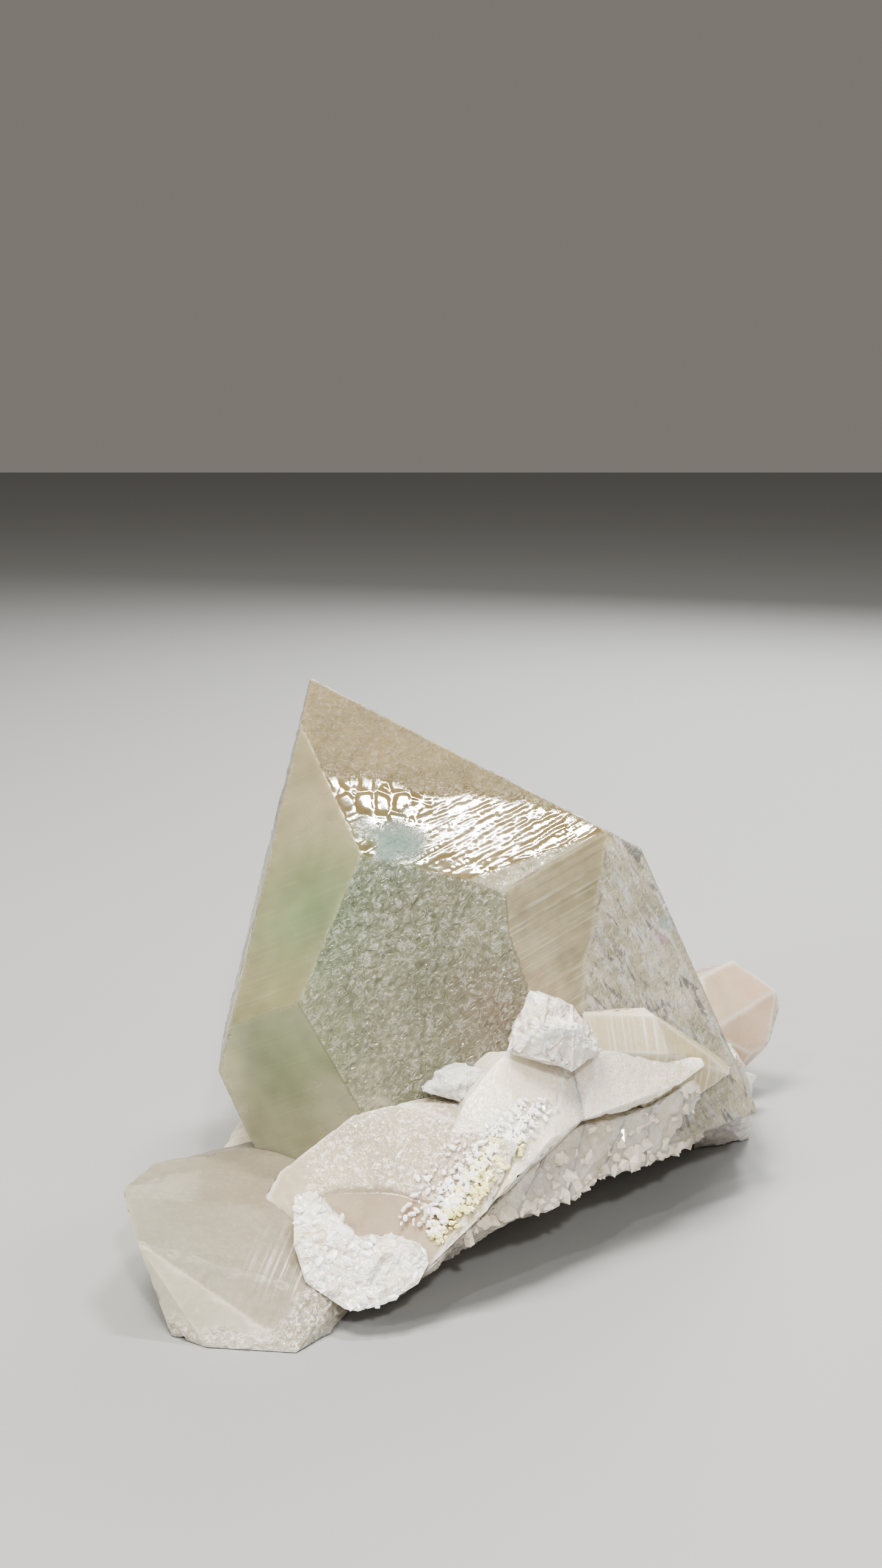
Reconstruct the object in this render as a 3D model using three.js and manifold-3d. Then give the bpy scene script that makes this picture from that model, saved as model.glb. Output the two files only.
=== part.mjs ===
import * as THREE from "three";
import { ConvexGeometry } from "three/addons/geometries/ConvexGeometry.js";
import { ImprovedNoise } from "three/addons/math/ImprovedNoise.js";
import { mergeVertices } from "three/addons/utils/BufferGeometryUtils.js";
import Module from "manifold-3d";

const wasm = await Module();
wasm.setup();

// Millimetres, +Z up, the table at z = 0. The front of the cluster faces -Y.

// Moves the finished cluster so that the middle of its footprint is the origin.
const CENTRING = [-1.5, 2.5, 0];

// Quartz geometry: the tip (rhombohedral) faces lean 38.2 degrees off the prism faces.
const TIP_FACE_TILT = 38.2;
const PRISM_FACE_TILT = 0;
const FACE_STEP = 60;

// Main crystal: apex, lean of its long axis off vertical, compass heading of that lean,
// and turn of its front face about the axis.
const MAIN_APEX = [-38.4, 20.1, 107.5];
const MAIN_LEAN = 25.1;
const MAIN_HEADING = 165.3;
const MAIN_TURN = -8.2;
const MAIN_LENGTH = 150;

// Distance of each face from the apex, going round from the front face.
const MAIN_TIP_OFFSETS = [5.1, 0, 0, 6.8, 3.4, 0];
const MAIN_PRISM_OFFSETS = [51.6, 42.7, 48.6, 30.6, 34, 51.6];

// Two dissolved facets across the front edge, and the narrow bevel above them:
// direction round the axis, tilt toward the tip, distance from the apex.
const UPPER_FACET = { turn: 24.6, tilt: 11.7, offset: 28.3 };
const LOWER_FACET = { turn: 23.4, tilt: 3.2, offset: 38.1 };
const BEVEL = { turn: 50.1, tilt: 30.3, offset: 8.9 };

// Sloping break under the main crystal and the break at its lower right end:
// outward direction and distance from the origin.
const MAIN_UNDERSIDE = { normal: [0.28, -0.32, -0.9], offset: 3.5 };
const MAIN_RIGHT_BREAK = { normal: [0.98, 0, 0.2], offset: 60.6 };

// Left crystal: lies with its tip to the left and one wide striated face upward.
const LEFT_CRYSTAL = [
  [-67.5, -40, 19], // tip, rear corner of the upper face
  [-70.5, -55, 20.5], // tip, front corner of the upper face
  [-70, -58.5, 20],
  [-66, -69.5, 16], // front left corner
  [-44, -74.5, 3.5], // low front edge
  [-59.5, -74.5, 0],
  [-52.5, -79, 0],
  [-43, -80, 0],
  [-36, -81, 0],
  [-30.5, -73.5, 0],
  [-29.5, -71.5, 5.5],
  [-50.5, -10, 11.5], // rear, hidden under the main crystal
  [-22.5, -6, 13],
  [-62.5, -31.5, 0],
  [-52.5, 1, 0],
  [-14, -31.5, 0],
  [-16.5, -44, 10],
];

// Front crystal: leans out of the main crystal's foot with its blunt tip low and left.
const FRONT_CRYSTAL = [
  [-44.5, -47.5, 15],
  [-44.5, -50, 14],
  [-41.5, -45, 19.5], // tip
  [-27, -40, 29.5], // upper edge
  [-17, -40, 32],
  [-7, -41, 32],
  [-37, -57, 9.5], // lower left edge
  [-30, -66.5, 4],
  [-19, -69.5, 6],
  [-12, -68, 10.5],
  [-1, -62, 19], // lip on the right
  [5, -55, 29],
  [-37, -30.5, 10],
  [0.5, -25.5, 10],
  [0.5, -25.5, 30.5],
  [-26, -30.5, 23],
];

// Two stubby crystals grown together in the middle of the front.
const MIDDLE_CRYSTAL_A = [
  [-5, -45, 34],
  [0, -40, 39],
  [3.5, -36.5, 41.5],
  [16, -31.5, 40.5],
  [18.5, -42.5, 29.5],
  [11.5, -50, 28.5],
  [4.5, -58.5, 24],
  [-4.5, -63, 16],
  [-12.5, -64.5, 12],
  [-13.5, -56, 20.5],
  [-5.5, -27, 17],
  [20, -21, 25.5],
  [20, -21, 37.5],
  [-3, -26.5, 37.5],
];
const MIDDLE_CRYSTAL_B = [
  [9.5, -33, 41],
  [22.5, -30.5, 39.5],
  [44.5, -18.5, 33.5],
  [45, -20.5, 32.5],
  [39.5, -26.5, 31],
  [33, -31.5, 29],
  [27.5, -35.5, 28.5],
  [18.5, -42.5, 29.5],
  [11.5, -45, 28.5],
  [46.5, -13, 30.5],
  [15.5, -18.5, 24],
  [7, -24.5, 37.5],
];

// Right crystal: small, its tip to the right, a striated upright face at the front.
const RIGHT_CRYSTAL = [
  [19, -26.5, 46],
  [32.5, -18.5, 44.5],
  [34.5, -21, 43.5],
  [46, -15.5, 33.5],
  [51.5, -12, 27.5], // tip
  [37, -24.5, 36.5],
  [22.5, -30, 39],
  [36.5, -22, 21],
  [32, -26.5, 25.5],
  [20, -28, 33.5],
  [53, -4, 27],
  [34.5, -6, 39],
  [21, -13, 42.5],
  [32.5, -9.5, 24],
];

// Far crystal: single tip standing out at the right behind the main crystal.
const FAR_CRYSTAL = [
  [61.5, 52, 33], // tip
  [72.5, 53.5, 25],
  [73.5, 53.5, 20.5],
  [70, 47, 13],
  [65.5, 43.5, 12],
  [53, 45, 31],
  [54.5, 38, 19.5],
  [41, 49.5, 24],
  [41, 53.5, 0],
  [62.5, 60.5, 4],
  [54, 67, 20.5],
  [49.5, 62, 26],
  [43, 38, 14],
  [56, 40, 2],
];

// Broken white lump standing on the middle crystals.
const BROKEN_LUMP = [
  [4, -36.5, 43.5],
  [5.5, -34, 47],
  [8, -33, 53],
  [12, -34, 52],
  [16.5, -33, 50],
  [21, -33, 43],
  [22.5, -35, 41],
  [20, -38, 40.5],
  [16, -41.5, 39],
  [11.5, -42.5, 41.5],
  [3, -40, 42.5],
  [10, -42.5, 49],
  [16.5, -40, 47],
  [5.5, -26.5, 41],
  [19, -23, 42.5],
  [10.5, -25.5, 49],
];

// Small clear flake between the lump and the front crystal.
const CLEAR_FLAKE = [
  [-13.5, -39, 34],
  [-10, -37.5, 38],
  [-4, -36.5, 38.5],
  [-1.5, -37.5, 38],
  [0, -39, 37],
  [-5.5, -41.5, 32.5],
  [-8.5, -41, 36.5],
  [-12.5, -31.5, 32.5],
  [0.5, -30, 34],
  [-6.5, -30.5, 37],
];

// Rough crust plastered on the front crystal's lower face, upper lobe and lower lobe.
const CRUST_UPPER = [
  [-38, -54.5, 19],
  [-32, -58, 18],
  [-30, -62, 16.5],
  [-25, -65.5, 15],
  [-24, -70, 8],
  [-27.5, -74, 5],
  [-35, -69.5, 8],
  [-37.5, -64, 13],
  [-31, -52.5, 5],
  [-33.5, -50, 17],
];
const CRUST_LOWER = [
  [-31, -64, 14],
  [-25, -65.5, 15],
  [-20.5, -68, 13.5],
  [-14.5, -68, 14],
  [-12, -69.5, 12],
  [-14, -72, 9],
  [-20, -74, 6],
  [-25, -75, 5],
  [-27.5, -74, 5],
  [-35, -69.5, 8],
  [-31, -52.5, 5],
  [-14, -55, 12],
];

// Root rock: the lip under the crystals, the ragged lower edge of the broken wall
// and the line where the undercut wall meets the table, each from left to right.
const WALL_LIP = [
  [-10, -60.5, 13],
  [5, -52, 20],
  [12, -45, 25.5],
  [19, -37.5, 26.5],
  [28, -30.5, 25.5],
  [33.5, -26.5, 26],
  [40.5, -21, 28],
  [46, -15.5, 29.5],
];
const RAGGED_EDGE = [
  [-12.5, -69.5, 10],
  [-5, -61, 14],
  [4.5, -55, 14.5],
  [15, -47, 14.5],
  [22, -37.5, 15],
  [32, -29, 14],
  [41.5, -16, 12.5],
  [46.5, 1, 7.5],
];
const WALL_FOOT = [
  [-21, -62, 0],
  [-12.5, -48.5, 0],
  [-4.5, -31.5, 0],
  [8, -14, 0],
  [20, 4, 0],
  [30, 10, 0],
  [41, 15.5, 0],
  [52.5, 19.5, 0],
];
const WALL_DEPTH = 34;

// Block at the right end of the root rock.
const RIGHT_BLOCK = [
  [55.5, 1, 26.5],
  [58.5, 7, 20.5],
  [60.5, 11, 15.5],
  [61, 13, 10.5],
  [61.5, 19.5, 0],
  [59.5, 18, 0],
  [48, 13.5, 0],
  [46.5, -6, 21],
  [47, 4, 10],
  [58, 50, 0],
  [57, 44, 18],
  [40, 30, 24],
  [30, 40, 0],
];

// Rear of the root rock.
const REAR_ROCK = [
  [-62.5, -31.5, 0],
  [-60, -20, 8],
  [-53, 36, 0],
  [-48, 38, 12],
  [-30, 56, 0],
  [-24, 54, 15],
  [6, 62, 0],
  [8, 58, 16],
  [44, 60, 0],
  [40, 54, 15],
  [60, 40, 0],
  [20, 4, 0],
  [-4.5, -31.5, 0],
];
const REAR_LUMPS = [
  { at: [-44, 34, 9], radii: [15, 14, 12], seed: 3 },
  { at: [-18, 50, 10], radii: [17, 12, 13], seed: 7 },
  { at: [18, 56, 9], radii: [18, 11, 14], seed: 11 },
  { at: [46, 54, 8], radii: [13, 10, 11], seed: 19 },
  { at: [-46, 16, 5], radii: [7, 13, 8], seed: 23 },
];
const LUMP_DETAIL = 2;
const LUMP_ROUGHNESS = 0.22;

// Crystals on the rear and sides: tip, direction of the tip, half width, length.
const REAR_CRYSTALS = [
  { tip: [24, 66, 54], axis: [0.28, 0.5, 0.82], width: 10.5, length: 46, turn: 8 },
  { tip: [-8, 74, 44], axis: [-0.08, 0.72, 0.69], width: 8.5, length: 40, turn: 25 },
  { tip: [-46, 62, 38], axis: [-0.42, 0.66, 0.62], width: 9.5, length: 40, turn: 40 },
  { tip: [-30, 72, 24], axis: [-0.25, 0.88, 0.4], width: 5.5, length: 26, turn: 12 },
  { tip: [36, 74, 24], axis: [0.2, 0.9, 0.38], width: 6.5, length: 28, turn: 50 },
  { tip: [8, 76, 17], axis: [0.05, 0.95, 0.3], width: 5, length: 24, turn: 33 },
  { tip: [-58, 30, 14], axis: [-0.8, 0.45, 0.3], width: 4.5, length: 22, turn: 20 },
  { tip: [66, 37, 9], axis: [0.9, 0.3, 0.3], width: 4.2, length: 18, turn: 5 },
];
const SHOULDER_SHARE = 1.15; // height of a crystal's tip pyramid over its half width

// Sugary crystals on the broken wall, and on the rear rock.
const WALL_DRUSE = {
  count: 84,
  seed: 5,
  small: 1.1,
  large: 2.3,
  standOut: 1.4,
  start: 0.07,
  lowest: 0.9,
};
const REAR_DRUSE = { count: 30, seed: 17, small: 1.6, large: 3.2, standOut: 2.6 };

const MILKY_QUARTZ = new THREE.MeshStandardMaterial({
  color: 0xd9d6c6,
  roughness: 0.3,
  metalness: 0,
});

const UP = new THREE.Vector3(0, 0, 1);

function vector(xyz) {
  return new THREE.Vector3(...xyz);
}

function seededRandom(seed) {
  let state = seed;
  return () => {
    state = (state * 16807) % 2147483647;
    return state / 2147483647;
  };
}

// Closed three.js geometry to a solid.
function solidOf(geometry) {
  const bare = geometry.clone();
  bare.deleteAttribute("normal");
  bare.deleteAttribute("uv");
  const merged = mergeVertices(bare, 1e-4);
  return new wasm.Manifold(
    new wasm.Mesh({
      numProp: 3,
      vertProperties: new Float32Array(merged.attributes.position.array),
      triVerts: new Uint32Array(merged.index.array),
    }),
  );
}

function hullOf(corners) {
  return solidOf(new ConvexGeometry(corners));
}

function hullOfCorners(corners) {
  return hullOf(corners.map(vector));
}

// Corner shared by three planes, or null when they don't meet in one point.
function meet(a, b, c) {
  const across = new THREE.Vector3().crossVectors(b.normal, c.normal);
  const scale = a.normal.dot(across);
  if (Math.abs(scale) < 1e-6) return null;
  const corner = across.multiplyScalar(a.distance);
  const second = new THREE.Vector3().crossVectors(c.normal, a.normal);
  const third = new THREE.Vector3().crossVectors(a.normal, b.normal);
  corner.addScaledVector(second, b.distance);
  corner.addScaledVector(third, c.distance);
  return corner.divideScalar(scale);
}

// Convex solid kept below every plane.
function crystalFrom(planes) {
  const corners = [];
  planes.forEach((a, i) =>
    planes.slice(i + 1).forEach((b, j) =>
      planes.slice(i + j + 2).forEach((c) => {
        const corner = meet(a, b, c);
        const inside = (p) => p.normal.dot(corner) <= p.distance + 1e-4;
        if (corner && planes.every(inside)) corners.push(corner);
      }),
    ),
  );
  return hullOf(corners);
}

// Directions round a crystal's long axis: turn 0 faces sideways-down, tilt leans to the tip.
function faceDirection(axis, turn, tilt) {
  const side = new THREE.Vector3().crossVectors(UP, axis).normalize();
  const rise = new THREE.Vector3().crossVectors(axis, side);
  const angle = THREE.MathUtils.degToRad(turn);
  const lean = THREE.MathUtils.degToRad(tilt);
  return side
    .multiplyScalar(Math.cos(angle) * Math.cos(lean))
    .addScaledVector(rise, Math.sin(angle) * Math.cos(lean))
    .addScaledVector(axis, Math.sin(lean));
}

function facePlane(apex, axis, { turn, tilt, offset }) {
  const normal = faceDirection(axis, turn, tilt);
  return { normal, distance: normal.dot(apex) + offset };
}

function cutPlane({ normal, offset }) {
  return { normal: vector(normal).normalize(), distance: offset };
}

function mainCrystal() {
  const lean = THREE.MathUtils.degToRad(MAIN_LEAN);
  const heading = THREE.MathUtils.degToRad(MAIN_HEADING);
  const axis = new THREE.Vector3(
    Math.sin(lean) * Math.cos(heading),
    Math.sin(lean) * Math.sin(heading),
    Math.cos(lean),
  );
  const apex = vector(MAIN_APEX);
  const tips = MAIN_TIP_OFFSETS.map((offset, i) => ({
    turn: MAIN_TURN + FACE_STEP * i,
    tilt: TIP_FACE_TILT,
    offset,
  }));
  const prisms = MAIN_PRISM_OFFSETS.map((offset, i) => ({
    turn: MAIN_TURN + FACE_STEP * i,
    tilt: PRISM_FACE_TILT,
    offset,
  }));
  const root = { turn: 0, tilt: -90, offset: MAIN_LENGTH };
  const faces = [...tips, ...prisms, UPPER_FACET, LOWER_FACET, BEVEL, root];
  return crystalFrom([
    ...faces.map((face) => facePlane(apex, axis, face)),
    cutPlane(MAIN_UNDERSIDE),
    cutPlane(MAIN_RIGHT_BREAK),
  ]);
}

// Six-sided crystal with a pyramid tip, its root end buried in what it grows from.
function sixSided({ tip, axis, width, length, turn }) {
  const point = vector(tip);
  const along = vector(axis).normalize();
  const corners = [point];
  for (let i = 0; i < 6; i += 1) {
    const out = faceDirection(along, turn + FACE_STEP * i, 0).multiplyScalar(width);
    const shoulder = point.clone().addScaledVector(along, -width * SHOULDER_SHARE);
    const root = point.clone().addScaledVector(along, -length);
    corners.push(shoulder.add(out), root.add(out));
  }
  return hullOf(corners);
}

function roughLump({ at, radii, seed }) {
  const noise = new ImprovedNoise();
  const ball = new THREE.IcosahedronGeometry(1, LUMP_DETAIL);
  const spots = ball.attributes.position;
  for (let i = 0; i < spots.count; i += 1) {
    const spot = new THREE.Vector3().fromBufferAttribute(spots, i);
    const bump = noise.noise(spot.x * 1.9 + seed, spot.y * 1.9 + seed, spot.z * 1.9);
    spot.multiplyScalar(1 + LUMP_ROUGHNESS * 2 * bump);
    spot.multiply(vector(radii)).add(vector(at));
    spots.setXYZ(i, spot.x, spot.y, spot.z);
  }
  return solidOf(ball);
}

// Point at a share of the way along a line of corners.
function along(line, share) {
  const place = share * (line.length - 1);
  const i = Math.min(Math.floor(place), line.length - 2);
  return vector(line[i]).lerp(vector(line[i + 1]), place - i);
}

// Root rock behind the broken wall, one wedge between each pair of neighbouring corners.
function wallRock() {
  const wedges = [];
  for (let i = 0; i < RAGGED_EDGE.length - 1; i += 1) {
    const corners = [WALL_LIP, RAGGED_EDGE, WALL_FOOT].flatMap((line) => [
      vector(line[i]),
      vector(line[i + 1]),
    ]);
    const behind = corners.map((corner) => {
      const back = corner.clone();
      back.y += WALL_DEPTH;
      return back;
    });
    wedges.push(hullOf([...corners, ...behind]));
  }
  return wedges;
}

function wallDruse() {
  const random = seededRandom(WALL_DRUSE.seed);
  const crystals = [];
  for (let i = 0; i < WALL_DRUSE.count; i += 1) {
    const share = THREE.MathUtils.lerp(WALL_DRUSE.start, 1, (i + random()) / WALL_DRUSE.count);
    const lip = along(WALL_LIP, share);
    const edge = along(RAGGED_EDGE, share);
    const drop = WALL_DRUSE.lowest * Math.sqrt(random());
    const across = edge.clone().sub(lip);
    const run = along(RAGGED_EDGE, Math.min(share + 0.02, 1));
    run.sub(along(RAGGED_EDGE, Math.max(share - 0.02, 0)));
    const outward = run.cross(across).normalize();
    if (outward.y > 0) outward.negate();
    const width = THREE.MathUtils.lerp(WALL_DRUSE.small, WALL_DRUSE.large, random() ** 2);
    const axis = outward.clone();
    axis.x += random() - 0.5;
    axis.y += 0.5 * (random() - 0.5);
    axis.z += random() - 0.25;
    const tip = lip.addScaledVector(across, drop);
    tip.addScaledVector(axis.normalize(), WALL_DRUSE.standOut * (0.5 + random()));
    const turn = FACE_STEP * random();
    const length = 2 * width + WALL_DRUSE.standOut;
    crystals.push(
      sixSided({ tip: tip.toArray(), axis: axis.toArray(), width, length, turn }),
    );
  }
  return crystals;
}

function rearDruse() {
  const random = seededRandom(REAR_DRUSE.seed);
  const crystals = [];
  for (let i = 0; i < REAR_DRUSE.count; i += 1) {
    const lump = REAR_LUMPS[i % REAR_LUMPS.length];
    const heading = THREE.MathUtils.degToRad(40 + 130 * random());
    const climb = 0.15 + 0.9 * random();
    const axis = new THREE.Vector3(Math.cos(heading), Math.sin(heading), climb).normalize();
    const width = THREE.MathUtils.lerp(REAR_DRUSE.small, REAR_DRUSE.large, random());
    const tip = axis.clone().multiply(vector(lump.radii)).add(vector(lump.at));
    tip.addScaledVector(axis, REAR_DRUSE.standOut * (0.6 + random()));
    const turn = FACE_STEP * random();
    const length = 4 * width + REAR_DRUSE.standOut;
    crystals.push(
      sixSided({ tip: tip.toArray(), axis: axis.toArray(), width, length, turn }),
    );
  }
  return crystals;
}

function cluster() {
  const pieces = [
    mainCrystal(),
    hullOfCorners(LEFT_CRYSTAL),
    hullOfCorners(FRONT_CRYSTAL),
    hullOfCorners(MIDDLE_CRYSTAL_A),
    hullOfCorners(MIDDLE_CRYSTAL_B),
    hullOfCorners(RIGHT_CRYSTAL),
    hullOfCorners(FAR_CRYSTAL),
    hullOfCorners(BROKEN_LUMP),
    hullOfCorners(CLEAR_FLAKE),
    hullOfCorners(CRUST_UPPER),
    hullOfCorners(CRUST_LOWER),
    hullOfCorners(RIGHT_BLOCK),
    hullOfCorners(REAR_ROCK),
    ...REAR_LUMPS.map(roughLump),
    ...REAR_CRYSTALS.map(sixSided),
    ...wallRock(),
    ...wallDruse(),
    ...rearDruse(),
  ];
  const grown = wasm.Manifold.union(pieces).trimByPlane([0, 0, 1], 0);
  // Pockets shut in between neighbouring crystals are left out with their own small shells.
  return grown
    .decompose()
    .reduce((largest, shell) => (shell.volume() > largest.volume() ? shell : largest))
    .translate(CENTRING);
}

function meshOf(solid, name, material) {
  const made = solid.getMesh();
  const geometry = new THREE.BufferGeometry();
  geometry.setAttribute("position", new THREE.BufferAttribute(made.vertProperties, 3));
  geometry.setIndex(new THREE.BufferAttribute(made.triVerts, 1));
  geometry.computeVertexNormals();
  const mesh = new THREE.Mesh(geometry, material);
  mesh.name = name;
  return mesh;
}

const part = new THREE.Group();
part.name = "quartz_cluster_group";
part.add(meshOf(cluster(), "quartz_cluster", MILKY_QUARTZ));

export default part;
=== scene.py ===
import math
from itertools import combinations

import bmesh
import bpy
import numpy as np
from mathutils import Matrix, Vector, noise
from mathutils.geometry import delaunay_2d_cdt


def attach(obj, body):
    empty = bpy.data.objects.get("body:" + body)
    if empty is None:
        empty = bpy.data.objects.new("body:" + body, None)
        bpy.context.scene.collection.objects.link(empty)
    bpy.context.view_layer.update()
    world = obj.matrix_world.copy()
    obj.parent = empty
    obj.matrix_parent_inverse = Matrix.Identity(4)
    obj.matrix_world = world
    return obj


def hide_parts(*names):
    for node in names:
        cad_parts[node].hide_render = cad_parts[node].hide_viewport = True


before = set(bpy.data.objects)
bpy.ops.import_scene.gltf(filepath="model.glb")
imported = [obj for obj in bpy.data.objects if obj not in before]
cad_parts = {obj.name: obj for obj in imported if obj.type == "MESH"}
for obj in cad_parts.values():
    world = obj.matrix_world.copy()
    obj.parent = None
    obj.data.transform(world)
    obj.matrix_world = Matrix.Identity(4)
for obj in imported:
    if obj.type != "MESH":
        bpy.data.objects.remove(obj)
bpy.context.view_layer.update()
scene = bpy.context.scene
chipSeed = 1795483670  # one draw of how the chips of broken stone lean; without it the clock draws anew on each run
noise.seed_set(chipSeed)

centring = np.array([-1.5, 2.5, 0.0])  # mm, puts the middle of the footprint on the origin
mm = 0.001
meshValues = {
    "sharpAngle": 14, "leastEdgeStep": 0.9, "rowGap": 0.866, "shake": 0.18, "margin": 0.55, "weld": 1e-5,
    "nickFrequency": 0.55, "nickFrom": 0.12, "nickDepth": 4,
}


# shapes: faces as rings of corners in mm, then fine meshes with relief

def placed(points):  # from mm to metres in the frame
    return (np.array(points) + centring) * mm


def unit(vector):
    vector = np.array(vector, float)
    return vector / np.linalg.norm(vector)


def smooth(value):  # eases 0 to 1
    value = min(1.0, max(0.0, value))
    return value * value * (3 - 2 * value)


def near(point, place, reach):  # 1 at the place, 0 from reach outwards
    return smooth(1 - float(np.linalg.norm(np.array(point) - np.array(place))) / reach)


def blend(low, high, share):
    low, high = np.array(low), np.array(high)
    return low + (high - low) * share


def faceDirection(axis, turn, tilt):  # turn goes round the crystal's long axis, tilt leans to the tip
    side = unit(np.cross([0, 0, 1], axis))
    rise = np.cross(axis, side)
    turn, tilt = math.radians(turn), math.radians(tilt)
    return math.cos(tilt) * (math.cos(turn) * side + math.sin(turn) * rise) + math.sin(tilt) * np.array(axis)


def hullFaces(corners, flatWithin):  # convex hull as polygons, near-level triangles joined
    shape = bmesh.new()
    for corner in corners:
        shape.verts.new(corner)
    bmesh.ops.remove_doubles(shape, verts=shape.verts, dist=0.05)
    made = bmesh.ops.convex_hull(shape, input=shape.verts)
    loose = [v for v in made["geom_interior"] if isinstance(v, bmesh.types.BMVert)]
    bmesh.ops.delete(shape, geom=loose, context="VERTS")
    flatTurn = math.radians(flatWithin)
    bmesh.ops.dissolve_limit(shape, angle_limit=flatTurn, verts=shape.verts, edges=shape.edges)
    bmesh.ops.recalc_face_normals(shape, faces=shape.faces)
    faces = [np.array([list(v.co) for v in face.verts]) for face in shape.faces]
    shape.free()
    return faces


def planeHull(planes):  # corners where three planes meet and no other plane cuts them off
    normals, limits = (np.array(values) for values in zip(*planes))
    corners = []
    for trio in map(list, combinations(range(len(planes)), 3)):
        if abs(np.linalg.det(normals[trio])) >= 1e-6:
            corner = np.linalg.solve(normals[trio], limits[trio])
            if np.all(normals @ corner <= limits + 1e-4):
                corners.append(corner)
    return corners


def ringSides(ring):  # each corner with the next one
    return [(ring[i], ring[(i + 1) % len(ring)]) for i in range(len(ring))]


def faceBasis(ring):  # normal, middle and two directions in the face
    normal = unit(sum(np.cross(a, b) for a, b in ringSides(ring)))
    along = ring[1] - ring[0]
    along = unit(along - normal * (along @ normal))
    return normal, ring.mean(0), along, np.cross(normal, along)


def edgeKey(a, b):
    return tuple(sorted((tuple(np.round(a, 3)), tuple(np.round(b, 3)))))


def findSharp(faces, bases):  # edges whose two faces turn by more than the sharp angle
    sides = {}
    for ring, basis in zip(faces, bases):
        for a, b in ringSides(ring):
            sides.setdefault(edgeKey(a, b), []).append(basis[0])
    limit = math.cos(math.radians(meshValues["sharpAngle"]))
    return {key for key, pair in sides.items() if len(pair) < 2 or pair[0] @ pair[1] < limit}


def edgeStops(ring, step):  # points round a face, the same on an edge whichever face asks
    stops = []
    for a, b in ringSides(ring):
        low, high = (np.array(end) for end in sorted((tuple(a), tuple(b))))
        count = max(1, int(round(np.linalg.norm(b - a) / max(step, meshValues["leastEdgeStep"]))))
        order = range(count) if np.allclose(a, low) else range(count, 0, -1)
        stops += [low + (high - low) * t / count for t in order]
    return np.array(stops)


def edgeDistance(points, corners, wanted):  # distance from flat points to the wanted edges of a convex ring
    apart = np.full(len(points), 1e3)
    for (p, q), counts in zip(ringSides(corners), wanted):
        if counts:
            way = (q - p) / max(np.linalg.norm(q - p), 1e-9)
            apart = np.minimum(apart, way[0] * (points[:, 1] - p[1]) - way[1] * (points[:, 0] - p[0]))
    return np.maximum(apart, 0)


def flatPlaces(points, basis):  # points in a face's own two directions
    normal, middle, along, across = basis
    return np.stack([(points - middle) @ along, (points - middle) @ across], 1)


def faceGrid(flat, corners, step, rng):  # shaken rows of points inside a face
    xs = np.arange(flat[:, 0].min(), flat[:, 0].max(), step)
    ys = np.arange(flat[:, 1].min(), flat[:, 1].max(), step * meshValues["rowGap"])
    gx, gy = np.meshgrid(xs, ys)
    gx = gx + (np.arange(len(ys)) % 2)[:, None] * step * 0.5
    grid = np.stack([gx.ravel(), gy.ravel()], 1)
    grid = grid + rng.uniform(-meshValues["shake"], meshValues["shake"], grid.shape) * step
    return grid[edgeDistance(grid, corners, [True] * len(corners)) > step * meshValues["margin"]]


def gridHeights(grid, flat, lift):  # a face that is not quite flat follows the height of its edge
    weight = (np.linalg.norm(grid[:, None, :] - flat[None, ::3, :], axis=2) + 1e-6) ** -3
    return (weight @ lift[::3]) / weight.sum(1)


def paintMesh(mesh, rims, tones, finishes):  # what the materials read: edge share (paler edges, partly wear and partly a painted edge highlight), tint, skin weights
    mesh.attributes.new("rim", "FLOAT", "POINT").data.foreach_set("value", rims)
    for label, values in (("tone", tones), ("finish", finishes)):
        colours = mesh.attributes.new(label, "FLOAT_COLOR", "POINT").data
        colours.foreach_set("color", np.array(values, float).ravel())


def addObject(name, mesh):
    piece = bpy.data.objects.new(name, mesh)
    scene.collection.objects.link(piece)
    return piece


def plainTone(point, normal):
    return 1.0, 1.0, 1.0


def evenFinish(crinkled=0.0, lined=0.0, veined=0.0, frosted=0.0):  # the same shares of skin all over
    return lambda point, normal: (crinkled, lined, veined, frosted)


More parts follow.
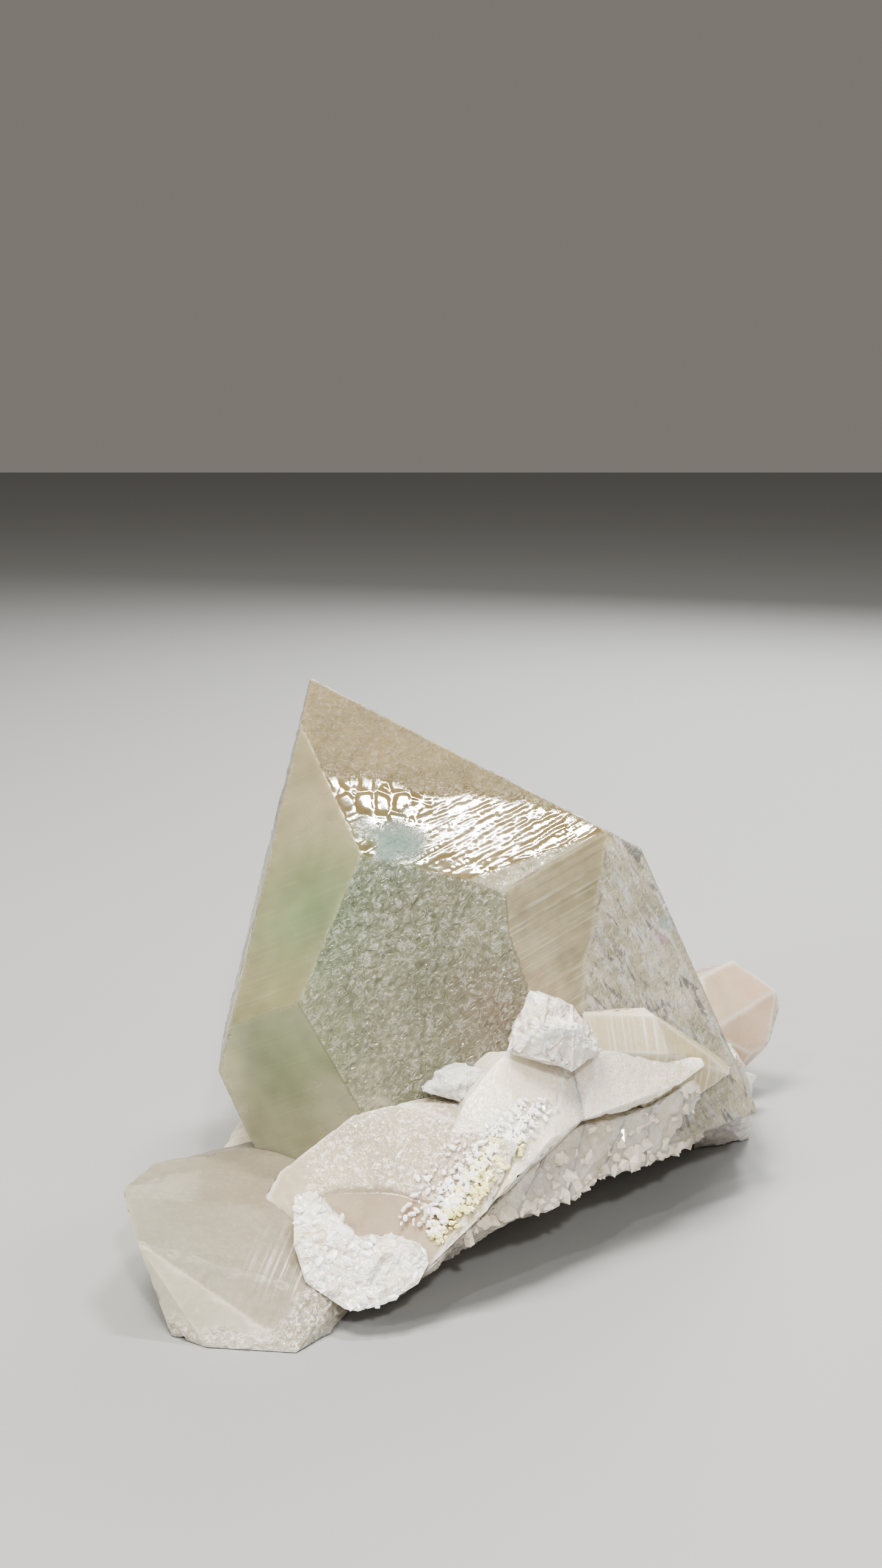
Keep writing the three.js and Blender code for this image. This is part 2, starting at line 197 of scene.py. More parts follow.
def fineMesh(name, faces, spacing, relief, fade, chip, seed, rim=0.9, tone=plainTone, finish=evenFinish()):
    # Each flat face is filled with small triangles, then raised by relief(point, normal), which fades out
    # towards the sharp edges so that neighbouring faces stay joined.
    rng = np.random.default_rng(seed)
    bases = [faceBasis(ring) for ring in faces]
    sharp = findSharp(faces, bases)
    spots, lean, rims, tones, finishes, triangles, faceOf, index = [], [], [], [], [], [], [], {}

    def addSpot(point, normal, apart):
        point = point + normal * relief(point, normal) * smooth(apart / fade)
        spots.append(point)
        lean.append(np.zeros(3))
        rims.append(smooth(1 - apart / rim))
        tones.append((*tone(point, normal), 1.0))
        finishes.append(finish(point, normal))
        return len(spots) - 1

    for faceNumber, (ring, basis) in enumerate(zip(faces, bases)):
        normal, middle, along, across = basis
        step = spacing(normal, middle)
        edge = edgeStops(ring, step)
        flat, corners = flatPlaces(edge, basis), flatPlaces(ring, basis)
        hard = [edgeKey(a, b) in sharp for a, b in ringSides(ring)]
        grid = faceGrid(flat, corners, step, rng)
        edgeApart, gridApart = edgeDistance(flat, corners, hard), edgeDistance(grid, corners, hard)
        height = gridHeights(grid, flat, (edge - middle) @ normal)
        made, _, cells, origins, _, _ = delaunay_2d_cdt(
            [Vector(p) for p in [*flat, *grid]], [], [list(range(len(flat)))], 1, meshValues["weld"])
        lookup = []
        for spot, source in zip(made, origins):
            n = source[0] if source else -1
            if n >= len(flat):
                n -= len(flat)
                point = middle + grid[n][0] * along + grid[n][1] * across + height[n] * normal
                lookup.append(addSpot(point, normal, gridApart[n]))
                continue
            point = edge[n] if n >= 0 else middle + spot[0] * along + spot[1] * across
            key = tuple(np.round(point, 3))
            if key not in index:
                index[key] = addSpot(point, normal, edgeApart[n] if n >= 0 else 0.0)
            lookup.append(index[key])
        for cell in cells:
            ids = [lookup[t] for t in cell]
            if len(set(ids)) < 3:
                continue
            p, q, r = (made[t] for t in cell)
            if (q[0] - p[0]) * (r[1] - p[1]) - (q[1] - p[1]) * (r[0] - p[0]) < 0:
                ids.reverse()
            triangles.append(ids)
            faceOf.append(faceNumber)
        for number in set(lookup):
            lean[number] += normal
    for number in index.values():  # small nicks along the edges
        nick = noise.noise(Vector(spots[number] * meshValues["nickFrequency"]))
        nick = max(0.0, nick - meshValues["nickFrom"])
        spots[number] = spots[number] - unit(lean[number]) * nick * chip * meshValues["nickDepth"]
    mesh = bpy.data.meshes.new(name)
    mesh.from_pydata(placed(spots).tolist(), [], triangles)
    paintMesh(mesh, rims, tones, finishes)
    shape = bmesh.new()
    shape.from_mesh(mesh)
    shape.faces.ensure_lookup_table()
    for polygon in shape.faces:
        polygon.smooth = True
    sharpTurn = math.radians(meshValues["sharpAngle"])
    for side in shape.edges:
        if len(side.link_faces) == 2:
            f, g = side.link_faces
            side.smooth = faceOf[f.index] == faceOf[g.index] or side.calc_face_angle(0) < sharpTurn
    shape.to_mesh(mesh)
    shape.free()
    return addObject(name, mesh)


def joinPieces(name, pieces):
    for other in bpy.context.selected_objects:
        other.select_set(False)
    for piece in pieces:
        piece.select_set(True)
    bpy.context.view_layer.objects.active = pieces[0]
    bpy.ops.object.join()
    pieces[0].name = name
    return pieces[0]


def finishPiece(piece, material=None):  # keeps it above the table, hands it over and says so
    for vertex in piece.data.vertices:
        vertex.co.z = max(vertex.co.z, 0.0)
    if material:
        piece.data.materials.clear()
        piece.data.materials.append(material)
    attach(piece, "root")
    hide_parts("quartz_cluster")
    print("made", piece.name, len(piece.data.polygons))


def ridges(point, size, seed):  # crumpled, ridged relief from -1 to 1
    p = Vector(point) / size + Vector((seed, seed * 1.7, seed * 0.3))
    return noise.ridged_multi_fractal(p, 0.9, 2.1, 3, 0.9, 2.0) - 1.0


def ripple(point, size, seed):
    return noise.noise(Vector(point) / size + Vector((seed, -seed, seed * 0.5)))


def mottled(point, ripples):  # a level round 1
    level = 1
    for depth, size, seed in ripples:
        level = level + depth * ripple(point, size, seed)
    return level


def lines(point, axis, spacing, seed, run=0.04):  # growth lines square to axis
    along = float(np.dot(point, axis))
    side = float(point[0] * 0.7 + point[1] * 0.2 + point[2] * 0.4)
    a = noise.noise(Vector((along / spacing, side * run, seed)))
    b = noise.noise(Vector((along / spacing * 2.7, side * run * 2, seed + 5)))
    return a + 0.5 * b


def broken(depth, size, seed):  # splintered stone: flat chips, each tilted its own way
    def relief(point, normal):
        spot = Vector(point) / size + Vector((seed, seed * 2, seed * 3))
        nearest = noise.voronoi(spot)[1][0]
        tilt = noise.noise_vector(nearest * 3.1 + Vector((0.5, 0.2, 0.9)))
        chip = (spot - nearest).dot(tilt) * 1.6 + noise.noise(nearest * 5.3) * 0.7
        return depth * (chip + 0.25 * noise.noise(spot * 3))
    return relief


# nodes, fed by the name or the number of each input

def feed(tree, node, feeds):  # wires sockets, sets plain values
    for place, value in feeds.items():
        if isinstance(value, bpy.types.NodeSocket):
            tree.links.new(value, node.inputs[place])
        elif value is not None:
            node.inputs[place].default_value = value


def addNode(tree, kind, feeds=None, **settings):
    node = tree.nodes.new(kind)
    for key, value in settings.items():
        setattr(node, key, value)
    feed(tree, node, feeds or {})
    return node


def socketKind(value):  # from a first value, or the kind's own name
    if isinstance(value, str):
        return value
    return {3: "Vector", 4: "Color"}[len(value)] if isinstance(value, tuple) else type(value).__name__.title()


def newGroup(name, treeKind, inputs, outputs):
    tree = bpy.data.node_groups.new(name, treeKind)
    for side, sockets in (("INPUT", inputs), ("OUTPUT", outputs)):
        for label, value in sockets.items():
            kind = "NodeSocket" + socketKind(value)
            socket = tree.interface.new_socket(label, in_out=side, socket_type=kind)
            if not isinstance(value, str):
                socket.default_value = value
    start, end = tree.nodes.new("NodeGroupInput"), tree.nodes.new("NodeGroupOutput")
    return tree, start.outputs, end


def mathNode(tree, operation, first, second=None, clamp=False):
    node = addNode(tree, "ShaderNodeMath", {0: first, 1: second}, operation=operation, use_clamp=clamp)
    return node.outputs[0]


def times(tree, first, second):
    return mathNode(tree, "MULTIPLY", first, second)


def plus(tree, first, second):
    return mathNode(tree, "ADD", first, second)


def vectorNode(tree, operation, feeds):  # a dot product or a distance is a number, the rest are vectors
    node = addNode(tree, "ShaderNodeVectorMath", feeds, operation=operation)
    return node.outputs["Value" if operation in ("DOT_PRODUCT", "DISTANCE") else "Vector"]


def mapNode(tree, source, fromMin, fromMax, toMin=0.0, toMax=1.0, kind="LINEAR"):
    feeds = {"Value": source, "From Min": fromMin, "From Max": fromMax, "To Min": toMin, "To Max": toMax}
    return addNode(tree, "ShaderNodeMapRange", feeds, interpolation_type=kind).outputs["Result"]


def mixNode(tree, share, base, over, blendType="MIX"):
    base, over = ((*value, 1) if isinstance(value, tuple) else value for value in (base, over))
    feeds = {0: share, 6: base, 7: over}
    return addNode(tree, "ShaderNodeMix", feeds, data_type="RGBA", blend_type=blendType).outputs[2]


def noiseNode(tree, vector, scale, detail=2.0, roughness=0.5, distortion=0.0, output="Fac"):
    return addNode(tree, "ShaderNodeTexNoise", {
        "Vector": vector, "Scale": scale, "Detail": detail, "Roughness": roughness,
        "Distortion": distortion}).outputs[output]


def cellNode(tree, vector, scale):
    return addNode(tree, "ShaderNodeTexVoronoi", {"Vector": vector, "Scale": scale}).outputs["Distance"]


def groupNode(tree, group, values):
    return addNode(tree, "ShaderNodeGroup", values, node_tree=group).outputs


def objectPlace(tree):
    return addNode(tree, "ShaderNodeTexCoord").outputs["Object"]


def stretchedPlace(tree, start):  # object coordinates drawn out along the group's Direction
    place = objectPlace(tree)
    along = vectorNode(tree, "DOT_PRODUCT", {0: place, 1: start["Direction"]})
    share = times(tree, along, start["Stretch"])
    back = vectorNode(tree, "SCALE", {0: start["Direction"], "Scale": share})
    return vectorNode(tree, "SUBTRACT", {0: place, 1: back})


# shader groups that several materials share

def colourSpotGroup():  # a soft patch of colour inside the stone, round one point of it
    tree, start, end = newGroup("colourSpot", "ShaderNodeTree", {
        "Base": (1, 1, 1, 1), "Spot": (1, 1, 1, 1), "Place": (0, 0, 0), "Centre": (0, 0, 0), "Reach": 0.02,
        "Amount": 0.5}, {"Color": "Color"})
    apart = vectorNode(tree, "DISTANCE", {0: start["Place"], 1: start["Centre"]})
    soft = mapNode(tree, mathNode(tree, "DIVIDE", apart, start["Reach"]), 0, 1, 1, 0, "SMOOTHSTEP")
    strength = times(tree, soft, start["Amount"])
    feed(tree, end, {"Color": mixNode(tree, strength, start["Base"], start["Spot"])})
    return tree


def cloudGroup():  # milky clouding: two tones mixed by layered noise, with a mask of the milkier parts
    tree, start, end = newGroup("milkyClouds", "ShaderNodeTree", {
        "Clear": (0.8, 0.8, 0.75, 1), "Milk": (0.9, 0.88, 0.82, 1), "Scale": 60.0, "Fleck Scale": 900.0,
        "Fleck Amount": 0.15}, {"Color": "Color", "Mask": "Float"})
    place = objectPlace(tree)
    cloud = mapNode(tree, noiseNode(tree, place, start["Scale"], 5, 0.6), 0.35, 0.68)
    fleck = mapNode(tree, noiseNode(tree, place, start["Fleck Scale"], 2), 0.56, 0.7)
    both = mathNode(tree, "ADD", cloud, times(tree, fleck, start["Fleck Amount"]), clamp=True)
    feed(tree, end, {"Color": mixNode(tree, both, start["Clear"], start["Milk"]), "Mask": both})
    return tree


def grainGroup():  # frosted skin: fine grains over soft dimples, as a height
    tree, start, end = newGroup("frostGrain", "ShaderNodeTree", {
        "Grain Scale": 2200.0, "Dimple Scale": 350.0, "Grain": 0.4, "Dimple": 0.6}, {"Height": "Float"})
    place = objectPlace(tree)
    grain = times(tree, noiseNode(tree, place, start["Grain Scale"], 2), start["Grain"])
    dimple = times(tree, cellNode(tree, place, start["Dimple Scale"]), start["Dimple"])
    feed(tree, end, {"Height": plus(tree, grain, dimple)})
    return tree


def growthLineGroup():  # fine parallel growth lines square to a direction
    tree, start, end = newGroup("growthLines", "ShaderNodeTree", {
        "Direction": (0, 0, 1), "Frequency": 900.0}, {"Height": "Float", "Mask": "Float"})
    place = objectPlace(tree)
    along = vectorNode(tree, "DOT_PRODUCT", {0: place, 1: start["Direction"]})
    line = addNode(tree, "ShaderNodeTexNoise", {
        "Scale": 1, "Detail": 3, "Roughness": 0.7, "W": times(tree, along, start["Frequency"])},
        noise_dimensions="1D").outputs["Fac"]
    gate = mapNode(tree, noiseNode(tree, place, 160, 2), 0.35, 0.6)
    feed(tree, end, {"Height": line, "Mask": times(tree, mapNode(tree, line, 0.5, 0.66), gate)})
    return tree


def crinkleGroup():  # dissolved skin: short crests, as a height and as a mask of the crests, which the materials paint as bright glints
    tree, start, end = newGroup("crinkledSkin", "ShaderNodeTree", {
        "Direction": (0, 0, 1), "Stretch": 0.5, "Scale": 500.0}, {"Height": "Float", "Glint Crest": "Float"})
    place = stretchedPlace(tree, start)
    folds = noiseNode(tree, place, start["Scale"], 2, 0.6, 0.9)
    off = mathNode(tree, "ABSOLUTE", mathNode(tree, "SUBTRACT", folds, 0.5))
    chips = cellNode(tree, place, times(tree, start["Scale"], 1.4))
    glintCrest = mapNode(tree, off, 0.01, 0.085, 1, 0)
    gate = mapNode(tree, noiseNode(tree, place, times(tree, start["Scale"], 1.25), 2, 0.6), 0.46, 0.56)
    height = plus(tree, mapNode(tree, off, 0.0, 0.2, 1, 0), chips)
    feed(tree, end, {"Height": height, "Glint Crest": times(tree, glintCrest, gate)})
    return tree


def streakGroup():  # drawn-out wisps and veins along a direction, as two masks
    tree, start, end = newGroup("wispsAndVeins", "ShaderNodeTree", {
        "Direction": (0, 0, 1), "Stretch": 0.85, "Scale": 300.0}, {"Wisps": "Float", "Veins": "Float"})
    place = stretchedPlace(tree, start)
    pale = noiseNode(tree, place, start["Scale"], 3, 0.65, 0.4)
    dark = noiseNode(tree, place, times(tree, start["Scale"], 0.73), 3, 0.6, 0.6)
    feed(tree, end, {"Wisps": mapNode(tree, pale, 0.48, 0.6), "Veins": mapNode(tree, dark, 0.43, 0.35)})
    return tree


colourSpot = colourSpotGroup()
milkyClouds = cloudGroup()
frostGrain = grainGroup()
growthLines = growthLineGroup()
crinkledSkin = crinkleGroup()
wispsAndVeins = streakGroup()
print("made the shader groups")


# the stone finish, which each piece's dictionary of values changes

stoneValues = {
    "cloudScale": 60, "fleckScale": 900, "flecks": 0.15, "grainScale": 2200, "dimpleScale": 350, "grain": 0.4,
    "dimple": 0.6, "relief": 0.05, "bump": 0.8, "painted": True, "rimShare": 0.4, "refraction": 1.54,
    "transmission": 0.0, "subsurface": 0.0, "depth": 4, "scatter": (1.0, 0.92, 0.8), "streakShare": 0.8,
    "wispHeight": 0.12, "rimRoughness": 0.1, "frostRoughness": 0.45, "spots": [], "spotBend": 12,
}


def cloudColour(tree, look):  # clouds, then patches of colour; also returns the cloud mask
    clouds = groupNode(tree, milkyClouds, {
        "Clear": (*look["clear"], 1), "Milk": (*look["milk"], 1), "Scale": look["cloudScale"],
        "Fleck Scale": look["fleckScale"], "Fleck Amount": look["flecks"]})
    colour = clouds["Color"]
    if look["spots"]:  # each is a place in mm, a reach in mm, a colour and an amount
        place = objectPlace(tree)
        wobble = noiseNode(tree, place, 60, 3, output="Color")
        bent = vectorNode(tree, "MULTIPLY_ADD", {0: wobble, 1: (look["spotBend"] * mm,) * 3, 2: place})
    for at, reach, tint, amount in look["spots"]:
        centre = (np.array(at) + centring + look["spotBend"] / 2) * mm
        colour = groupNode(tree, colourSpot, {
            "Base": colour, "Spot": (*tint, 1), "Place": bent, "Centre": centre.tolist(), "Reach": reach * mm,
            "Amount": amount})["Color"]
    return colour, clouds["Mask"]


def addStreaks(tree, look, weight, colour, height):
    masks = groupNode(tree, wispsAndVeins, look["streaks"])
    pale = times(tree, masks["Wisps"], weight)
    dark = times(tree, masks["Veins"], weight)
    colour = mixNode(tree, times(tree, pale, look["streakShare"]), colour, look["wispColour"])
    colour = mixNode(tree, times(tree, dark, look["streakShare"]), colour, look["veinColour"])
    return colour, plus(tree, height, times(tree, pale, look["wispHeight"]))


def addGrowth(tree, look, weight, colour, height):
    growth = groupNode(tree, growthLines, look["growth"])
    lined = times(tree, growth["Mask"], weight)
    grooved = times(tree, growth["Height"], weight)
    colour = mixNode(tree, times(tree, lined, look["lineShare"]), colour, look["lineColour"])
    return colour, plus(tree, height, times(tree, grooved, look["lineDepth"]))


def addCrinkle(tree, look, weight, colour, height):
    folds = groupNode(tree, crinkledSkin, look["crinkle"])
    glintCrest = times(tree, folds["Glint Crest"], weight)
    folded = times(tree, folds["Height"], weight)
    # painted shade darkens the hollows of the crinkle, and a painted glint lightens its crests
    shadedHollow = times(tree, mapNode(tree, folds["Height"], 0.35, 1.1, 1, 0), weight)
    colour = mixNode(tree, times(tree, shadedHollow, look["hollowShare"]), colour, look["hollowColour"])
    colour = mixNode(tree, times(tree, glintCrest, look["crestShare"]), colour, look["crestColour"])
    return colour, plus(tree, height, times(tree, folded, look["crinkleDepth"]))


def quartzMaterial(name, look):
    look = {**stoneValues, "rimColour": look["milk"], **look}
    material = bpy.data.materials.new(name)
    material.use_nodes = True
    tree = material.node_tree
    colour, milkMask = cloudColour(tree, look)
    grain = groupNode(tree, frostGrain, {
        "Grain Scale": look["grainScale"], "Dimple Scale": look["dimpleScale"], "Grain": look["grain"],
        "Dimple": look["dimple"]})
    height = times(tree, grain["Height"], look["relief"])
    roughness = mapNode(tree, milkMask, 0, 1, *look["roughness"])
    if look["painted"]:
        tone, rim, finish = (addNode(tree, "ShaderNodeAttribute", attribute_name=label).outputs
                             for label in ("tone", "rim", "finish"))
        weights = addNode(tree, "ShaderNodeSeparateColor", {"Color": finish["Color"]}).outputs
        # the tone multiplies in painted tints; on the secondary crystals it also holds painted light and shade by
        # face direction
        colour = mixNode(tree, 1.0, colour, tone["Color"], "MULTIPLY")
        for key, skin, channel in (("streaks", addStreaks, "Blue"), ("growth", addGrowth, "Green"),
                                   ("crinkle", addCrinkle, "Red")):
            if key in look:
                colour, height = skin(tree, look, weights[channel], colour, height)
        # paler edges: partly worn edges, partly a painted edge highlight
        colour = mixNode(tree, times(tree, rim["Fac"], look["rimShare"]), colour, look["rimColour"])
        roughness = plus(tree, roughness, times(tree, rim["Fac"], look["rimRoughness"]))
        roughness = plus(tree, roughness, times(tree, finish["Alpha"], look["frostRoughness"]))
    bump = addNode(tree, "ShaderNodeBump", {"Distance": mm, "Strength": look["bump"], "Height": height})
    shader = tree.nodes["Principled BSDF"]
    feed(tree, shader, {
        "Base Color": colour, "Roughness": roughness, "Normal": bump.outputs["Normal"],
        "IOR": look["refraction"], "Transmission Weight": look["transmission"],
        "Subsurface Weight": look["subsurface"], "Subsurface Radius": look["scatter"],
        "Subsurface Scale": look["depth"] * mm})
    if "fade" in look:  # see-through share where the stone is not clouded
        feed(tree, shader, {"Alpha": mapNode(tree, milkMask, 0, 1, *look["fade"])})
    if "absorption" in look:
        body = addNode(tree, "ShaderNodeVolumeAbsorption", {
            "Color": (*look["absorption"], 1), "Density": look["density"]})
        feed(tree, tree.nodes["Material Output"], {"Volume": body.outputs["Volume"]})
    return material


# main crystal

mainValues = {
    "apex": [-38.4, 20.1, 107.5], "lean": 25.1, "heading": 165.3, "turn": -8.2, "tipTilt": 38.2, "length": 150,
    "tipOffsets": [5.1, 0, 0, 6.8, 3.4, 0], "prismOffsets": [51.6, 42.7, 48.6, 30.6, 34, 51.6],
    "upperFacet": (24.6, 11.7, 28.3), "lowerFacet": (23.4, 3.2, 38.1), "bevel": (50.1, 30.3, 8.9),
    "underside": ([0.28, -0.32, -0.9], 3.5), "rightBreak": ([0.98, 0, 0.2], 60.6), "flat": 0.5,
    "frontSpacing": 0.45, "sideSpacing": 1.3, "backSpacing": 0.9, "fade": 0.5, "chip": 0.12, "seed": 4,
    "rim": 0.6, "etchDepth": 0.34, "etchSize": 2.4, "fineEtch": (0.55, 1.15), "lineDepth": 0.055,
    "scaleDepth": 0.12, "scaleSize": (3.1, 6.5, 4.8), "stepDepth": 0.05, "backStep": 0.16, "backEtch": 0.3,
    "scaleRow": ([-35, -3, 91], [-13, -9.5, 83.4]),  # a line along the middle of the row of scales
    # places and colours of a painted rainbow sheen in the fractures
    "rainbowSheen": [([38.4, -3.5, 58.1], (-0.25, 0.05, 0.15)), ([37, -4.8, 55.6], (0.05, -0.2, 0.12))],
    "bluePatch": [-19.5, -17, 79], "whiteChip": [-28.4, -24.1, 73.2],
    "brightSkin": ((-18, -24, 68), (8, -29, 46)), "sameFace": 0.9985,
    # ripples of the tint, each with its depth, size and seed
    "mottle": ((0.16, 7, 52), (0.1, 2.5, 53)), "cloud": ((0.13, 11, 71), (0.1, 3.5, 72)),
    "veil": ((0.2, 8, 44), (0.1, 2, 45)), "backVeil": ((0.14, 5, 34), (0.1, 2, 35)),
    "zoneTop": ([25.4, 78.3], 0.232),  # x and z where the silvery zone's border starts, and its slope
    "bandTop": ([-35, 93.5], 0.17),  # x and z of the top of the glossy band, and its slope
}
mainTones = {
    "wideTip": (0.42, 0.335, 0.19), "blueTip": (0.33, 0.45, 0.43), "leftTip": (0.67, 0.60, 0.44),
    "facet": (0.52, 0.52, 0.41), "leftPrism": (0.71, 0.70, 0.56), "freeEdge": (0.92, 0.87, 0.72),
    "warmPrism": (0.71, 0.63, 0.47), "silverPrism": (0.86, 0.80, 0.68), "other": (0.72, 0.67, 0.55),
}

lean, heading = math.radians(mainValues["lean"]), math.radians(mainValues["heading"])
mainAxis = np.array([math.sin(lean) * math.cos(heading), math.sin(lean) * math.sin(heading), math.cos(lean)])
apex = np.array(mainValues["apex"])


def mainPlanes(shrink=0.0):
    turned = []
    for tilt, key in ((mainValues["tipTilt"], "tipOffsets"), (0, "prismOffsets")):
        turned += [(mainValues["turn"] + 60 * i, tilt, offset) for i, offset in enumerate(mainValues[key])]
    turned += [mainValues[key] for key in ("upperFacet", "lowerFacet", "bevel")]
    planes = []
    for turn, tilt, offset in turned:
        normal = faceDirection(mainAxis, turn, tilt)
        planes.append((normal, normal @ apex + (offset - shrink)))
    for key in ("underside", "rightBreak"):
        normal, offset = mainValues[key]
        planes.append((unit(normal), offset - shrink))
    planes.append((-mainAxis, -mainAxis @ apex + mainValues["length"]))
    planes.append((np.array([0, 0, -1.0]), -shrink))  # where it meets the table
    return planes


mainTurns = {  # turn and tilt of the faces at the front
    "facet": mainValues["upperFacet"][:2], "lowerFacet": mainValues["lowerFacet"][:2],
    "wideTip": (mainValues["turn"] + 60, mainValues["tipTilt"]), "rightPrism": (mainValues["turn"] + 60, 0),
    "leftPrism": (mainValues["turn"], 0), "leftTip": (mainValues["turn"], mainValues["tipTilt"]),
}
mainDirections = {name: faceDirection(mainAxis, *turned) for name, turned in mainTurns.items()}


def faceName(normal):
    for name, direction in mainDirections.items():
        if float(np.dot(normal, direction)) > mainValues["sameFace"]:
            return "facet" if name == "lowerFacet" else name
    return "under" if normal[2] < -0.5 else "behind"


def silverZone(point):  # share of the silvery, fractured zone at the right end
    (x, z), slope = mainValues["zoneTop"]
    border = x - (z - point[2]) * slope + 1.6 * ripple(point, 7, 41)
    return smooth((point[0] - border) / 2.5)


def scaleRow(point):  # share of the overlapping scales on the wide tip face
    a, b = (np.array(p) for p in mainValues["scaleRow"])
    reach = float((point - a) @ (b - a) / ((b - a) @ (b - a)))
    off = np.linalg.norm(point - a - reach * (b - a))
    return smooth((0.62 - abs(reach - 0.45)) * 4) * smooth((7.5 - off) / 3)


def glintBand(point):  # share of the glossy band under the frosted top of the wide tip face
    (x, z), slope = mainValues["bandTop"]
    top = z - slope * (point[0] - x) + 1.5 * ripple(point, 6, 19)
    return smooth((top - point[2]) / 3.5)


def etchedPatch(point):  # share of the etched patches on the faces behind
    return smooth(2.6 * ripple(point, 10, 33) + 0.1)


def mainRelief(point, normal):
    face, lineDepth = faceName(normal), mainValues["lineDepth"]
    if face == "facet":  # dissolved, and crumpled more coarsely near the top
        share, size = mainValues["fineEtch"]
        coarse = 0.6 + 0.4 * smooth((point[2] - 40) / 35)
        crumple = ridges(point, mainValues["etchSize"], 3) * coarse + share * ridges(point, size, 8)
        return mainValues["etchDepth"] * crumple
    if face == "wideTip":  # growth scales, then broken growth lines
        cell = Vector(np.array(point) / mainValues["scaleSize"]) + Vector((4, 1, 7))
        first, second = noise.voronoi(cell)[0][:2]
        row = scaleRow(point)
        scales = mainValues["scaleDepth"] * row * smooth((second - first) / 0.3)
        steps = smooth((lines(point, mainAxis, 0.85, 11, 0.12) + 0.1) / 0.2)
        return scales + mainValues["stepDepth"] * steps * (1 - row) + 0.014 * ripple(point, 1.7, 2)
    if face == "rightPrism":  # striated, then dimpled in the silvery zone
        zone = silverZone(point)
        growth = lineDepth * 0.9 * lines(point, mainAxis, 0.6, 4) * (1 - 0.6 * zone)
        return growth + 0.14 * zone * ripple(point, 2.2, 6)
    if face in ("leftPrism", "leftTip"):
        return lineDepth * 0.4 * lines(point, mainAxis, 0.9, 9) + 0.03 * ripple(point, 2.0, 12)
    if face == "under":
        return 0.5 * ridges(point, 3.0, 5)
    steps = smooth((lines(point, mainAxis, 2.4, 15, 0.08) + 0.1) / 0.3)
    etch = mainValues["backEtch"] * etchedPatch(point) * ridges(point, 2.6, 14)
    return mainValues["backStep"] * steps + lineDepth * lines(point, mainAxis, 1.2, 15) + etch


def mainTone(point, normal):
    face, tones = faceName(normal), mainTones
    if face == "facet":  # the tint runs softly into the left prism face
        leftPrism = mainDirections["leftPrism"]
        inward = leftPrism @ apex + mainValues["prismOffsets"][0] - leftPrism @ point
        share = smooth((inward + 2.5 * ripple(point, 4, 8)) / 6)
        white = smooth(near(point, mainValues["whiteChip"], 2.2) * 3)
        return tuple(blend(tones["leftPrism"], tones["facet"], share) * (1 - white) + white)
    if face == "wideTip":
        share = 0.9 * near(point, mainValues["bluePatch"], 11 + 9 * ripple(point, 4, 54))
        return tuple(blend(tones["wideTip"], tones["blueTip"], share) * mottled(point, mainValues["mottle"]))
    cloud = mottled(point, mainValues["cloud"])
    if face == "leftTip":
        return tuple(np.array(tones["leftTip"]) * cloud)
    if face == "leftPrism":  # paler towards the free edge
        free = smooth((-47 - point[0] + 3 * ripple(point, 8, 62)) / 10)
        return tuple(blend(tones["leftPrism"], tones["freeEdge"], free) * cloud)
    if face == "rightPrism":
        zone = silverZone(point)
        crack = smooth(1 - abs(zone - 0.5) * 2.5) * smooth(0.3 + 2.5 * ripple(point, 3.5, 43))
        veil = mottled(point, mainValues["veil"]) + 0.16 * lines(point, mainAxis, 1.2, 47, 0.02)
        # painted rainbow sheen: the colours that light makes in the fractures, added to the tint
        paintedRainbowSheen = sum(near(point, place, 3) * np.array(gleam) for place, gleam in mainValues["rainbowSheen"])
        tint = blend(tones["warmPrism"], tones["silverPrism"], zone)
        return tuple(tint * veil * (1 - 0.4 * crack) + paintedRainbowSheen)
    share = smooth(0.5 + 1.5 * ripple(point, 16, 36))
    return tuple(blend(tones["other"], tones["leftPrism"], share) * mottled(point, mainValues["backVeil"]))


def mainFinish(point, normal):  # shares of crinkled, lined, veined and frosted skin
    face = faceName(normal)
    if face == "facet":
        bright = max(near(point, place, 22) for place in mainValues["brightSkin"])
        return 0.7 + 0.3 * bright + 0.25 * ripple(point, 5, 61), 0.0, 0.0, 0.0
    if face == "wideTip":
        clear = glintBand(point) * (1 - near(point, mainValues["bluePatch"], 9 + 8 * ripple(point, 4, 54)))
        brink = smooth(1 - abs(glintBand(point) - 0.35) * 2)
        return 0.35 * brink + 0.2 * (1 - clear), 0.05, 0.0, 1 - clear
    if face == "rightPrism":
        zone = silverZone(point)
        return 0.5 * zone, 1 - 0.7 * zone, zone, 0.1
    if face in ("leftPrism", "leftTip"):
        return 0.0, 0.16, 0.0, 0.4
    return 0.1 + 0.8 * etchedPatch(point), 0.9, 0.15, 0.15


def mainSpacing(normal, middle):
    face = faceName(normal)
    if face in ("under", "behind"):
        return mainValues["backSpacing"]
    return mainValues["frontSpacing"] * (1 if face in ("facet", "wideTip") else mainValues["sideSpacing"])


